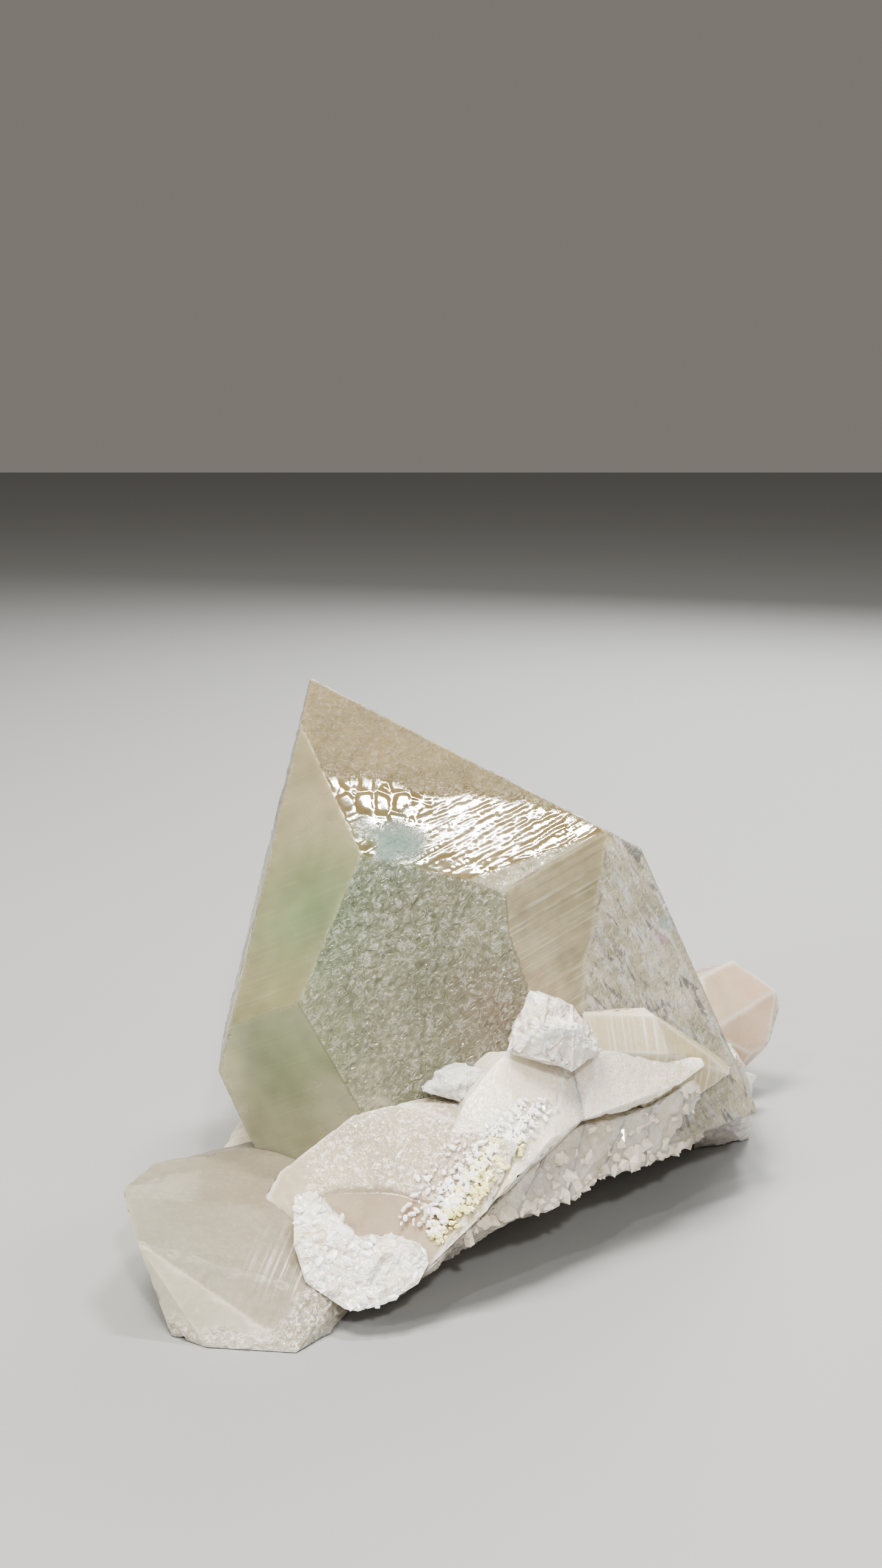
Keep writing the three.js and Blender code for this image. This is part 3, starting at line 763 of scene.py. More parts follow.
mainLook = {
    "clear": (0.80, 0.81, 0.75), "milk": (1.0, 0.99, 0.96), "cloudScale": 60, "flecks": 0.12,
    "fleckScale": 1800, "roughness": (0.04, 0.12), "transmission": 0.5, "subsurface": 0.7, "depth": 5,
    "relief": 0.006, "grain": 0.5, "dimple": 0.4, "grainScale": 1500, "dimpleScale": 500,
    "absorption": (0.86, 0.92, 0.84), "density": 10, "rimColour": (0.86, 0.82, 0.72), "rimShare": 0.05,
    "growth": {"Direction": mainAxis.tolist(), "Frequency": 1300.0},
    "lineShare": 0.55, "lineColour": (0.95, 0.91, 0.82), "lineDepth": 0.09,
    "crinkle": {"Direction": (0.45, -0.2, 0.75), "Stretch": 0.5, "Scale": 620.0}, "crinkleDepth": 0.6,
    # the crest colour is a painted glint on the crinkle crests, the hollow colour painted shade in its hollows
    "crestShare": 0.6, "crestColour": (0.99, 0.99, 0.96),
    "hollowShare": 0.6, "hollowColour": (0.26, 0.28, 0.23),
    "streaks": {"Direction": (0.42, 0.1, -0.86), "Stretch": 0.8, "Scale": 620.0},
    "wispColour": (1.0, 0.995, 0.985), "veinColour": (0.30, 0.30, 0.31),
    "spots": [
        ([-38, -20, 66], 26, (0.52, 0.76, 0.62), 0.85), ([-42, -28, 38], 24, (0.60, 0.72, 0.54), 0.7),
        ([-52, -15, 28], 18, (0.95, 0.93, 0.82), 0.7), (mainValues["bluePatch"], 12, (0.62, 0.82, 0.82), 0.7),
        ([0, -30, 48], 17, (1.0, 0.84, 0.84), 0.9), ([30, -4, 80], 12, (0.96, 0.88, 0.70), 0.6),
    ],
}
mainFaces = hullFaces(planeHull(mainPlanes()), mainValues["flat"])
mainCrystal = fineMesh("mainCrystal", mainFaces, mainSpacing, mainRelief, mainValues["fade"], mainValues["chip"],
                       mainValues["seed"], mainValues["rim"], mainTone, mainFinish)
finishPiece(mainCrystal, quartzMaterial("clearQuartz", mainLook))


# clouds inside the main crystal

cloudValues = {"inset": 3.2, "spacing": 2.2, "wave": 1.1, "fade": 2, "chip": 0, "seed": 9}
cloudLook = {
    "clear": (0.50, 0.53, 0.44), "milk": (0.86, 0.85, 0.76), "cloudScale": 70, "flecks": 0.5,
    "fleckScale": 1100, "roughness": (0.5, 0.7), "fade": (0.35, 0.95), "relief": 0.1, "rimShare": 0.0,
}


def cloudRelief(point, normal):
    return cloudValues["wave"] * (ripple(point, 9, 3) + 0.5 * ripple(point, 4, 5))


cloudFaces = hullFaces(planeHull(mainPlanes(cloudValues["inset"])), mainValues["flat"])
innerClouds = fineMesh("innerClouds", cloudFaces, lambda normal, middle: cloudValues["spacing"], cloudRelief,
                       cloudValues["fade"], cloudValues["chip"], cloudValues["seed"])
finishPiece(innerClouds, quartzMaterial("innerMilk", cloudLook))


# milky crystals at the foot

milkLook = {
    "clear": (0.80, 0.78, 0.76), "milk": (1.0, 0.985, 0.97), "cloudScale": 70, "flecks": 0.3,
    "fleckScale": 1300, "roughness": (0.06, 0.2), "transmission": 0.15, "subsurface": 0.5, "depth": 2.5,
    "relief": 0.02, "grain": 0.6, "dimple": 0.5, "grainScale": 1800, "dimpleScale": 600,
    "rimColour": (0.96, 0.94, 0.92), "rimShare": 0.5,
    "crinkle": {"Direction": (0.6, -0.3, 0.7), "Stretch": 0.2, "Scale": 720.0}, "crinkleDepth": 0.2,
    # the crest colour is a painted glint on the crinkle crests, the hollow colour painted shade in its hollows
    "crestShare": 0.85, "crestColour": (0.99, 0.985, 0.97),
    "hollowShare": 0.35, "hollowColour": (0.66, 0.60, 0.50),
}
milkValues = {"lineDepth": 0.05, "lineSize": 1.2, "dimple": 0.06}


def milkyRelief(axis, depth=1.0):  # frosted face with faint growth lines square to the crystal's own axis
    axis = unit(axis)

    def relief(point, normal):
        growth = milkValues["lineDepth"] * lines(point, axis, milkValues["lineSize"], 21)
        return depth * (growth + milkValues["dimple"] * (ripple(point, 1.8, 13) + 0.6 * ripple(point, 6, 4)))
    return relief


def shadeTone(top, side):  # painted light and shade: one tint for the faces that look up and one for those that look outwards, standing in for how the light falls on them
    return lambda point, normal: tuple(blend(side, top, smooth((normal[2] - 0.35) / 0.5)))


def stoneMesh(name, values, relief, tone=plainTone, finish=evenFinish()):  # from a piece's dictionary
    nearStep, farStep = values["steps"]
    return fineMesh(
        name, hullFaces(values["corners"], values["flat"]),
        lambda normal, middle: nearStep if normal[1] < 0.25 and normal[2] > -0.4 else farStep,
        relief, values["fade"], values["chip"], values["seed"], tone=tone, finish=finish)


# left crystal

leftValues = {
    "corners": [
        [-67.5, -40, 19], [-70.5, -55, 20.5], [-70, -58.5, 20], [-66, -69.5, 16], [-44, -74.5, 3.5],
        [-59.5, -74.5, 0], [-52.5, -79, 0], [-43, -80, 0], [-36, -81, 0], [-30.5, -73.5, 0],
        [-29.5, -71.5, 5.5], [-50.5, -10, 11.5], [-22.5, -6, 13], [-62.5, -31.5, 0], [-52.5, 1, 0],
        [-14, -31.5, 0], [-16.5, -44, 10],
    ],
    "flat": 7, "steps": (0.7, 2.5), "fade": 0.8, "chip": 0.3, "seed": 21, "axis": [-0.88, 0.1, 0.46],
    # tones: painted light and shade, a top tint and a lighter tint for the faces that look outwards
    "tones": ((0.44, 0.405, 0.33), (0.70, 0.67, 0.57)), "edgeBreak": (0.8, 1.5, 17),
    "scratches": (-37, -65, 9),
}
leftLook = {
    **milkLook, "growth": {"Direction": (0.97, -0.15, -0.2), "Frequency": 1000.0}, "lineShare": 0.8,
    "lineColour": (0.98, 0.97, 0.95), "lineDepth": 0.06, "rimShare": 0.03,
    "spots": [
        ([-60, -62, 14], 26, (0.84, 0.88, 0.83), 0.8), ([-42, -46, 16], 20, (0.88, 0.79, 0.77), 0.8),
        ([-46, -62, 12], 12, (0.90, 0.82, 0.78), 0.5), ([-45, -79, 0], 12, (1.0, 0.99, 0.98), 0.9),
    ],
}


def leftEdge(point):  # rough broken rim along the foot of the left crystal
    foot = 4.5 + 6.0 * smooth((point[0] + 40) / 8) - point[2] + 1.5 * ripple(point, 5, 31)
    return smooth(foot / 3) * smooth((-66 - point[1]) / 4)


def leftRelief(point, normal):
    rough = leftEdge(point)
    chips = broken(*leftValues["edgeBreak"])(point, normal)
    return milkyRelief(leftValues["axis"])(point, normal) * (1 - rough) + chips * rough


def leftFinish(point, normal):
    scratched = near(point, leftValues["scratches"], 13) * (normal[2] > 0.5)
    return 0.08 + 0.8 * leftEdge(point), scratched, 0.0, 0.5


leftCrystal = stoneMesh("leftCrystal", leftValues, leftRelief, shadeTone(*leftValues["tones"]), leftFinish)
finishPiece(leftCrystal, quartzMaterial("leftMilk", leftLook))


# front crystal

frontValues = {
    "corners": [
        [-44.5, -47.5, 15], [-44.5, -50, 14], [-41.5, -45, 19.5], [-27, -40, 29.5], [-17, -40, 32],
        [-7, -41, 32], [-37, -57, 9.5], [-30, -66.5, 4], [-19, -69.5, 6], [-12, -68, 10.5], [-1, -62, 19],
        [5, -55, 29], [-37, -30.5, 10], [0.5, -25.5, 10], [0.5, -25.5, 30.5], [-26, -30.5, 23],
    ],
    "flat": 7, "steps": (0.55, 2.5), "fade": 0.6, "chip": 0.2, "seed": 22, "axis": [-0.6, -0.2, -0.3],
    "frost": 1.3, "window": {"at": (-20, 14.0), "half": (16.5, 6.3), "depth": 0.55, "brink": 0.14},  # x and z
    "frosted": (0.68, 0.61, 0.495), "clear": (0.60, 0.525, 0.42), "shoulder": (0.80, 0.71, 0.60),
}
frontLook = {**milkLook, "spots": [
    ([-13, -60, 17], 8, (0.95, 0.80, 0.74), 0.6), ([-4, -62, 18], 9, (0.94, 0.88, 0.60), 0.7),
]}


def windowShare(point):  # share of the smooth, clear scoop in the lower face
    window = frontValues["window"]
    (x, z), (halfWidth, halfHeight) = window["at"], window["half"]
    apart = math.hypot((point[0] - x) / halfWidth, (point[2] - z) / halfHeight)
    return smooth((1 - apart + 0.1 * ripple(point, 7, 3)) / window["brink"])


def frontRelief(point, normal):
    scoop = windowShare(point)
    shape = 0.35 + 0.65 * smooth((point[2] - 9) / 9)
    frosted = milkyRelief(frontValues["axis"], frontValues["frost"])(point, normal)
    return frosted * (1 - scoop) - frontValues["window"]["depth"] * scoop * shape


def frontTone(point, normal):
    if normal[0] < -0.6 or (normal[2] < 0.6 and point[0] < -36):
        return frontValues["shoulder"]
    return tuple(blend(frontValues["frosted"], frontValues["clear"], windowShare(point)))


def frontFinish(point, normal):
    return 0.9 * (1 - windowShare(point)) * smooth((point[0] + 38) / 4), 0.0, 0.0, 0.0


frontCrystal = stoneMesh("frontCrystal", frontValues, frontRelief, frontTone, frontFinish)
finishPiece(frontCrystal, quartzMaterial("frontMilk", frontLook))


# two middle crystals

middleShape = {"flat": 7, "steps": (0.6, 2.5), "fade": 0.7, "chip": 0.25}
middleValues = {
    "middleA": {**middleShape, "seed": 23, "axis": [0.6, 0.4, 0.5], "corners": [
        [-5, -45, 34], [0, -40, 39], [3.5, -36.5, 41.5], [16, -31.5, 40.5], [18.5, -42.5, 29.5],
        [11.5, -50, 28.5], [4.5, -58.5, 24], [-4.5, -63, 16], [-12.5, -64.5, 12], [-13.5, -56, 20.5],
        [-5.5, -27, 17], [20, -21, 25.5], [20, -21, 37.5], [-3, -26.5, 37.5],
    ]},
    "middleB": {**middleShape, "seed": 24, "axis": [0.8, 0.4, 0.1], "corners": [
        [9.5, -33, 41], [22.5, -30.5, 39.5], [44.5, -18.5, 33.5], [45, -20.5, 32.5], [39.5, -26.5, 31],
        [33, -31.5, 29], [27.5, -35.5, 28.5], [18.5, -42.5, 29.5], [11.5, -45, 28.5], [46.5, -13, 30.5],
        [15.5, -18.5, 24], [7, -24.5, 37.5],
    ]},
}
middleSkin = {
    # tones: painted light and shade, a lighter tint on top and a darker one on the sides
    "tones": ((1.0, 0.945, 0.83), (0.93, 0.865, 0.74)), "frost": 1.5,
    "chips": ((36, -25, 34), (27, -31, 35), (16, -37, 35), (4, -48, 31)),
}
middleLook = {
    **milkLook, "clear": (0.88, 0.86, 0.82), "growth": {"Direction": (0.6, -0.13, -0.79), "Frequency": 1100.0},
    "lineShare": 0.5, "lineColour": (0.50, 0.45, 0.38), "lineDepth": 0.25,
    "spots": [
        ([14, -38, 34], 12, (0.88, 0.80, 0.74), 0.5), ([38, -24, 31], 12, (0.86, 0.84, 0.78), 0.6),
        ([40, -24, 30], 7, (0.62, 0.55, 0.48), 0.4), ([0, -58, 23], 9, (0.86, 0.82, 0.58), 0.6),
    ],
}


def middleFinish(point, normal):  # frosted, with sparkling chips in a few places
    chips = max(near(point, place, 9) for place in middleSkin["chips"])
    return 0.5 + 0.5 * chips, smooth((0.5 - normal[2]) / 0.3), 0.0, 0.0


middleCrystals = joinPieces("middleCrystals", [
    stoneMesh(name, values, milkyRelief(values["axis"], middleSkin["frost"]), shadeTone(*middleSkin["tones"]),
              middleFinish) for name, values in middleValues.items()])
finishPiece(middleCrystals, quartzMaterial("middleMilk", middleLook))


# right crystal

rightValues = {
    "corners": [
        [19, -26.5, 46], [32.5, -18.5, 44.5], [34.5, -21, 43.5], [46, -15.5, 33.5], [51.5, -12, 27.5],
        [37, -24.5, 36.5], [22.5, -30, 39], [36.5, -22, 21], [32, -26.5, 25.5], [20, -28, 33.5], [53, -4, 27],
        [34.5, -6, 39], [21, -13, 42.5], [32.5, -9.5, 24],
    ],
    "flat": 7, "steps": (0.5, 2.0), "fade": 0.6, "chip": 0.15, "seed": 25, "axis": [0.95, 0.3, -0.1],
    # tones: painted light and shade, a lighter tint on top and a darker one on the sides
    "tones": ((0.88, 0.81, 0.63), (0.79, 0.71, 0.51)),
}
rightLook = {
    **milkLook, "clear": (0.88, 0.86, 0.80), "transmission": 0.25, "roughness": (0.10, 0.22),
    "growth": {"Direction": (0.93, 0.35, -0.1), "Frequency": 800.0}, "lineShare": 0.85,
    "lineColour": (1.0, 0.985, 0.93), "lineDepth": 0.14,
    "spots": [([44, -17, 34], 12, (0.95, 0.89, 0.66), 0.6)],
}


def rightFinish(point, normal):
    return 0.2, 1.0 if normal[1] < -0.6 else 0.4, 0.0, 0.0


rightCrystal = stoneMesh("rightCrystal", rightValues, milkyRelief(rightValues["axis"]),
                         shadeTone(*rightValues["tones"]), rightFinish)
finishPiece(rightCrystal, quartzMaterial("rightMilk", rightLook))


# far crystal

farValues = {
    "corners": [
        [61.5, 52, 33], [72.5, 53.5, 25], [73.5, 53.5, 20.5], [70, 47, 13], [65.5, 43.5, 12], [53, 45, 31],
        [54.5, 38, 19.5], [41, 49.5, 24], [41, 53.5, 0], [62.5, 60.5, 4], [54, 67, 20.5], [49.5, 62, 26],
        [43, 38, 14], [56, 40, 2],
    ],
    "flat": 7, "steps": (0.9, 1.8), "fade": 0.8, "chip": 0.15, "seed": 26, "axis": [0.6, 0.1, 0.8],
    # tones: painted light and shade, a lighter tint on top and a darker one on the sides
    "tones": ((0.90, 0.765, 0.63), (0.83, 0.69, 0.56)),
}
farLook = {**milkLook, "depth": 5, "spots": [
    ([57, 42, 8], 14, (0.92, 0.62, 0.42), 0.8), ([68, 50, 27], 10, (0.98, 0.88, 0.84), 0.6),
]}
farCrystal = stoneMesh("farCrystal", farValues, milkyRelief(farValues["axis"]), shadeTone(*farValues["tones"]))
finishPiece(farCrystal, quartzMaterial("farMilk", farLook))


# broken lump, crust and flake

lumpShape = {"flat": 6, "steps": (0.35, 1.2), "fade": 0.4, "chip": 0.3}
crustShape = {"flat": 6, "steps": (0.45, 1.5), "fade": 0.6, "chip": 0.35}
flakeShape = {"flat": 4, "steps": (0.35, 1.0), "fade": 0.3, "chip": 0.3}
snowValues = {
    "brokenLump": {**lumpShape, "seed": 27, "broken": (1.3, 3.4, 3), "corners": [
        [4, -36.5, 43.5], [5.5, -34, 47], [8, -33, 53], [12, -34, 52], [16.5, -33, 50], [21, -33, 43],
        [22.5, -35, 41], [20, -38, 40.5], [16, -41.5, 39], [11.5, -42.5, 41.5], [3, -40, 42.5], [10, -42.5, 49],
        [16.5, -40, 47], [5.5, -26.5, 41], [19, -23, 42.5], [10.5, -25.5, 49],
    ]},
    "crustUpper": {**crustShape, "seed": 28, "broken": (1.1, 3.0, 5), "corners": [
        [-38, -54.5, 19], [-32, -58, 18], [-30, -62, 16.5], [-25, -65.5, 15], [-24, -70, 8], [-27.5, -74, 5],
        [-35, -69.5, 8], [-37.5, -64, 13], [-31, -52.5, 5], [-33.5, -50, 17],
    ]},
    "crustLower": {**crustShape, "seed": 29, "broken": (1.1, 3.0, 6), "corners": [
        [-31, -64, 14], [-25, -65.5, 15], [-20.5, -68, 13.5], [-14.5, -68, 14], [-12, -69.5, 12], [-14, -72, 9],
        [-20, -74, 6], [-25, -75, 5], [-27.5, -74, 5], [-35, -69.5, 8], [-31, -52.5, 5], [-14, -55, 12],
    ]},
    "clearFlake": {**flakeShape, "seed": 30, "broken": (1.0, 2.0, 8), "corners": [
        [-13.5, -39, 34], [-10, -37.5, 38], [-4, -36.5, 38.5], [-1.5, -37.5, 38], [0, -39, 37],
        [-5.5, -41.5, 32.5], [-8.5, -41, 36.5], [-12.5, -31.5, 32.5], [0.5, -30, 34], [-6.5, -30.5, 37],
    ]},
}
snowLook = {
    **milkLook, "clear": (0.97, 0.88, 0.76), "milk": (1.0, 0.98, 0.93), "roughness": (0.02, 0.14),
    "crinkle": {"Direction": (0.6, -0.3, 0.7), "Stretch": 0.35, "Scale": 300.0}, "crinkleDepth": 0.5,
    # the hollow colour is painted shade in the hollows of the crinkle
    "hollowShare": 0.8, "hollowColour": (0.66, 0.56, 0.45), "dimpleScale": 800, "dimple": 1.0,
    "relief": 0.08, "cloudScale": 190, "depth": 2.0, "subsurface": 0.2,
}
flakeLook = {
    "clear": (0.82, 0.79, 0.72), "milk": (1.0, 0.98, 0.94), "cloudScale": 160, "roughness": (0.05, 0.15),
    "transmission": 0.25, "subsurface": 0.5, "depth": 2, "relief": 0.05, "rimShare": 0.6,
    "absorption": (0.95, 0.96, 0.93), "density": 6, "crinkle": milkLook["crinkle"], "crinkleDepth": 0.2,
    # the crest colour is a painted glint on the crinkle crests, the hollow colour painted shade in its hollows
    "crestShare": 0.7, "crestColour": (0.98, 0.98, 0.96),
    "hollowShare": 0.3, "hollowColour": (0.5, 0.49, 0.45),
}
snowQuartz = quartzMaterial("snowQuartz", snowLook)
brokenLump, crustUpper, crustLower, clearFlake = (
    stoneMesh(name, values, broken(*values["broken"]), finish=evenFinish(crinkled=1.0))
    for name, values in snowValues.items())
finishPiece(brokenLump, snowQuartz)
finishPiece(joinPieces("frontCrust", [crustUpper, crustLower]), snowQuartz)
finishPiece(clearFlake, quartzMaterial("clearFlakeQuartz", flakeLook))


# root rock

wallLip = [[-10, -60.5, 13], [5, -52, 20], [12, -45, 25.5], [19, -37.5, 26.5], [28, -30.5, 25.5],
           [33.5, -26.5, 26], [40.5, -21, 28], [46, -15.5, 29.5]]
raggedEdge = [[-12.5, -69.5, 10], [-5, -61, 14], [4.5, -55, 14.5], [15, -47, 14.5], [22, -37.5, 15],
              [32, -29, 14], [41.5, -16, 12.5], [46.5, 1, 7.5]]
wallFoot = [[-21, -62, 0], [-12.5, -48.5, 0], [-4.5, -31.5, 0], [8, -14, 0], [20, 4, 0], [30, 10, 0],
            [41, 15.5, 0], [52.5, 19.5, 0]]
blockCorners = [
    [55.5, 1, 26.5], [58.5, 7, 20.5], [60.5, 11, 15.5], [61, 13, 10.5], [61.5, 19.5, 0], [59.5, 18, 0],
    [48, 13.5, 0], [46.5, -6, 21], [47, 4, 10], [58, 50, 0], [57, 44, 18], [40, 30, 24], [30, 40, 0],
]
rearCorners = [
    [-62.5, -31.5, 0], [-60, -20, 8], [-53, 36, 0], [-48, 38, 12], [-30, 56, 0], [-24, 54, 15], [6, 62, 0],
    [8, 58, 16], [44, 60, 0], [40, 54, 15], [60, 40, 0], [20, 4, 0], [-4.5, -31.5, 0],
]
rearLumps = [  # middle, radii and seed
    ([-44, 34, 9], [15, 14, 12], 3), ([-18, 50, 10], [17, 12, 13], 7), ([18, 56, 9], [18, 11, 14], 11),
    ([46, 54, 8], [13, 10, 11], 19), ([-46, 16, 5], [7, 13, 8], 23),
]
rockValues = {
    "wallDepth": 34, "frontSpacing": 0.65, "backSpacing": 2.2, "flat": 6, "fade": 0.8,
    # depth, size and seed of the broken surface
    "wallChips": (1.1, 3.6, 2), "blockChips": (1.2, 4.0, 12), "rearChips": (1.4, 4.5, 13),
    "skin": (0.5, 0.0, 0.35, 0.0),
}
rockLook = {
    **milkLook, "clear": (0.78, 0.67, 0.52), "milk": (0.95, 0.885, 0.76), "cloudScale": 100,
    "transmission": 0.2, "roughness": (0.05, 0.25), "relief": 0.08, "dimple": 0.8, "depth": 4,
    "rimShare": 0.35,
    "streaks": {"Direction": (0.5, 0.6, 0.6), "Stretch": 0.7, "Scale": 240.0},
    "wispColour": (0.95, 0.93, 0.91), "veinColour": (0.50, 0.42, 0.36),
    "spots": [
        ([24, -36, 22], 12, (0.72, 0.64, 0.50), 0.6), ([12, -47, 20], 9, (0.62, 0.60, 0.57), 0.6),
        ([46, -14, 21], 10, (0.70, 0.76, 0.68), 0.7), ([58, 12, 10], 20, (0.96, 0.92, 0.94), 0.8),
        ([0, 58, 5], 60, (0.80, 0.76, 0.70), 0.5),
    ],
}


def rockSpacing(normal, middle):
    facing = normal[1] < -0.2 or (normal[0] > 0.6 and middle[2] < 30)
    return rockValues["frontSpacing"] if facing else rockValues["backSpacing"]


def rockMesh(name, corners, chips, chip, seed):
    return fineMesh(name, hullFaces(corners, rockValues["flat"]), rockSpacing, broken(*rockValues[chips]),
                    rockValues["fade"], chip, seed, finish=evenFinish(*rockValues["skin"]))


def lumpMesh(at, radii, seed):  # a knobbly ball of rock
    ball = bmesh.new()
    bmesh.ops.create_icosphere(ball, subdivisions=5, radius=1)
    for vertex in ball.verts:
        spot = vertex.co.copy()
        nearest = noise.voronoi(spot * 2.6 + Vector((seed,) * 3))[1][0]
        size = 1 + 0.3 * noise.noise(spot * 1.6 + Vector((seed, 0, 0))) + 0.08 * noise.noise(nearest * 4)
        vertex.co = placed(np.array(spot) * size * np.array(radii) + np.array(at))
    mesh = bpy.data.meshes.new("lump")
    ball.to_mesh(mesh)
    ball.free()
    count = len(mesh.vertices)
    paintMesh(mesh, [0.0] * count, [(1, 1, 1, 1)] * count, [rockValues["skin"]] * count)
    return addObject("lump", mesh)


rockParts = []
for i in range(len(raggedEdge) - 1):
    front = [line[i + k] for line in (wallLip, raggedEdge, wallFoot) for k in (0, 1)]
    behind = [[x, y + rockValues["wallDepth"], z] for x, y, z in front]
    rockParts.append(rockMesh(f"wall{i}", front + behind, "wallChips", 0.3, 40 + i))
rockParts.append(rockMesh("block", blockCorners, "blockChips", 0.4, 50))
rockParts.append(rockMesh("rear", rearCorners, "rearChips", 0.4, 51))
rockParts += [lumpMesh(*lump) for lump in rearLumps]
finishPiece(joinPieces("rootRock", rockParts), quartzMaterial("rootQuartz", rockLook))


# small crystals on the rear

rearValues = {"shoulder": 1.15, "flat": 3, "spacing": 0.9, "frost": 1.6, "fade": 0.5, "chip": 0.15, "seed": 60}
rearPoints = [  # tip, axis, width, length and turn
    ([24, 66, 54], [0.28, 0.5, 0.82], 10.5, 46, 8), ([-8, 74, 44], [-0.08, 0.72, 0.69], 8.5, 40, 25),
    ([-46, 62, 38], [-0.42, 0.66, 0.62], 9.5, 40, 40), ([-30, 72, 24], [-0.25, 0.88, 0.4], 5.5, 26, 12),
    ([36, 74, 24], [0.2, 0.9, 0.38], 6.5, 28, 50), ([8, 76, 17], [0.05, 0.95, 0.3], 5, 24, 33),
    ([-58, 30, 14], [-0.8, 0.45, 0.3], 4.5, 22, 20), ([66, 37, 9], [0.9, 0.3, 0.3], 4.2, 18, 5),
]
rearLook = {
    **milkLook, "clear": (0.74, 0.72, 0.65), "milk": (0.92, 0.90, 0.86), "transmission": 0.25,
    "roughness": (0.08, 0.2), "subsurface": 0.6, "depth": 4,
}
rearParts = []
for number, (tip, axis, width, length, turn) in enumerate(rearPoints):
    tip, axis = np.array(tip, float), unit(axis)
    corners = [tip]
    for i in range(6):
        out = faceDirection(axis, turn + 60 * i, 0) * width
        corners += [tip - axis * width * rearValues["shoulder"] + out, tip - axis * length + out]
    rearParts.append(fineMesh(
        f"rearPoint{number}", hullFaces(corners, rearValues["flat"]),
        lambda normal, middle: rearValues["spacing"], milkyRelief(axis, rearValues["frost"]),
        rearValues["fade"], rearValues["chip"], rearValues["seed"] + number,
        finish=evenFinish(crinkled=0.15, lined=0.6)))
finishPiece(joinPieces("rearCrystals", rearParts), quartzMaterial("rearQuartz", rearLook))


# sugary druse, small points scattered by geometry nodes

def druseTree():
    tree, start, end = newGroup("sugaryDruse", "GeometryNodeTree", {
        "Geometry": "Geometry", "Density": 90000.0, "Spacing": 0.0009, "Smallest": 0.5, "Largest": 1.6,
        "Point Radius": 0.0007, "Lean": 0.6, "Seed": 1, "Material": "Material"}, {"Geometry": "Geometry"})
    radius, lean, seed = start["Point Radius"], start["Lean"], start["Seed"]
    scatter = addNode(tree, "GeometryNodeDistributePointsOnFaces", {
        "Mesh": start["Geometry"], "Density Max": start["Density"], "Distance Min": start["Spacing"],
        "Seed": seed}, distribute_method="POISSON").outputs
    cone = addNode(tree, "GeometryNodeMeshCone", {
        "Vertices": 6, "Radius Top": 0, "Radius Bottom": radius, "Depth": times(tree, radius, 1.25)},
        fill_type="NONE")
    stem = addNode(tree, "GeometryNodeMeshCylinder", {
        "Vertices": 6, "Radius": radius, "Depth": times(tree, radius, 2.2)}, fill_type="NGON")
    lower = addNode(tree, "ShaderNodeCombineXYZ", {"Z": times(tree, radius, -1.1)})
    shift = addNode(tree, "GeometryNodeTransform", {
        "Geometry": stem.outputs["Mesh"], "Translation": lower.outputs[0]})
    both = addNode(tree, "GeometryNodeJoinGeometry", {0: cone.outputs["Mesh"]})
    feed(tree, both, {0: shift.outputs[0]})
    weld = addNode(tree, "GeometryNodeMergeByDistance", {"Geometry": both.outputs[0], "Distance": 0.00001})
    least = vectorNode(tree, "SCALE", {0: (-1, -1, -3), "Scale": lean})
    most = vectorNode(tree, "SCALE", {0: (1, 1, 3), "Scale": lean})
    tilt = addNode(tree, "FunctionNodeRandomValue", {"Min": least, "Max": most, "Seed": seed},
                   data_type="FLOAT_VECTOR")
    toTurn = addNode(tree, "FunctionNodeEulerToRotation", {"Euler": tilt.outputs["Value"]})
    turn = addNode(tree, "FunctionNodeRotateRotation", {
        "Rotation": scatter["Rotation"], "Rotate By": toTurn.outputs["Rotation"]}, rotation_space="LOCAL")
    size = addNode(tree, "FunctionNodeRandomValue", {
        2: start["Smallest"], 3: start["Largest"], "Seed": seed}, data_type="FLOAT")
    place = addNode(tree, "GeometryNodeInstanceOnPoints", {
        "Points": scatter["Points"], "Instance": weld.outputs["Geometry"],
        "Rotation": turn.outputs["Rotation"], "Scale": size.outputs[1]})
    real = addNode(tree, "GeometryNodeRealizeInstances", {"Geometry": place.outputs["Instances"]})
    paint = addNode(tree, "GeometryNodeSetMaterial", {
        "Geometry": real.outputs["Geometry"], "Material": start["Material"]})
    feed(tree, end, {"Geometry": paint.outputs["Geometry"]})
    return tree


sugaryDruse = druseTree()


def growDruse(name, patch, values, material):  # patch: corner points and faces in mm that the points grow from
    mesh = bpy.data.meshes.new(name + "Bed")
    mesh.from_pydata([placed(p).tolist() for p in patch[0]], [], patch[1])
    bed = addObject(name + "Bed", mesh)
    nodes = bed.modifiers.new("druse", "NODES")
    nodes.node_group = sugaryDruse
    items = sugaryDruse.interface.items_tree
    sockets = {item.name: item.identifier for item in items if item.in_out == "INPUT"}
    for label, value in {**values, "Material": material}.items():
        nodes[sockets[label]] = value
    grown = bpy.data.meshes.new_from_object(bed.evaluated_get(bpy.context.evaluated_depsgraph_get()))
    bpy.data.objects.remove(bed)
    return addObject(name, grown)


def alongLine(line, share):
    place = share * (len(line) - 1)
    i = min(int(place), len(line) - 2)
    return np.array(line[i]) + (np.array(line[i + 1]) - np.array(line[i])) * (place - i)


def strip(upper, lower, steps):  # loose sheet between two lines of corners
    points = [alongLine(line, i / steps) for i in range(steps + 1) for line in (upper, lower)]
    return points, [(2 * i, 2 * i + 1, 2 * i + 3, 2 * i + 2) for i in range(steps)]


def moved(line, x, y, z):
    return [[a + x, b + y, c + z] for a, b, c in line]


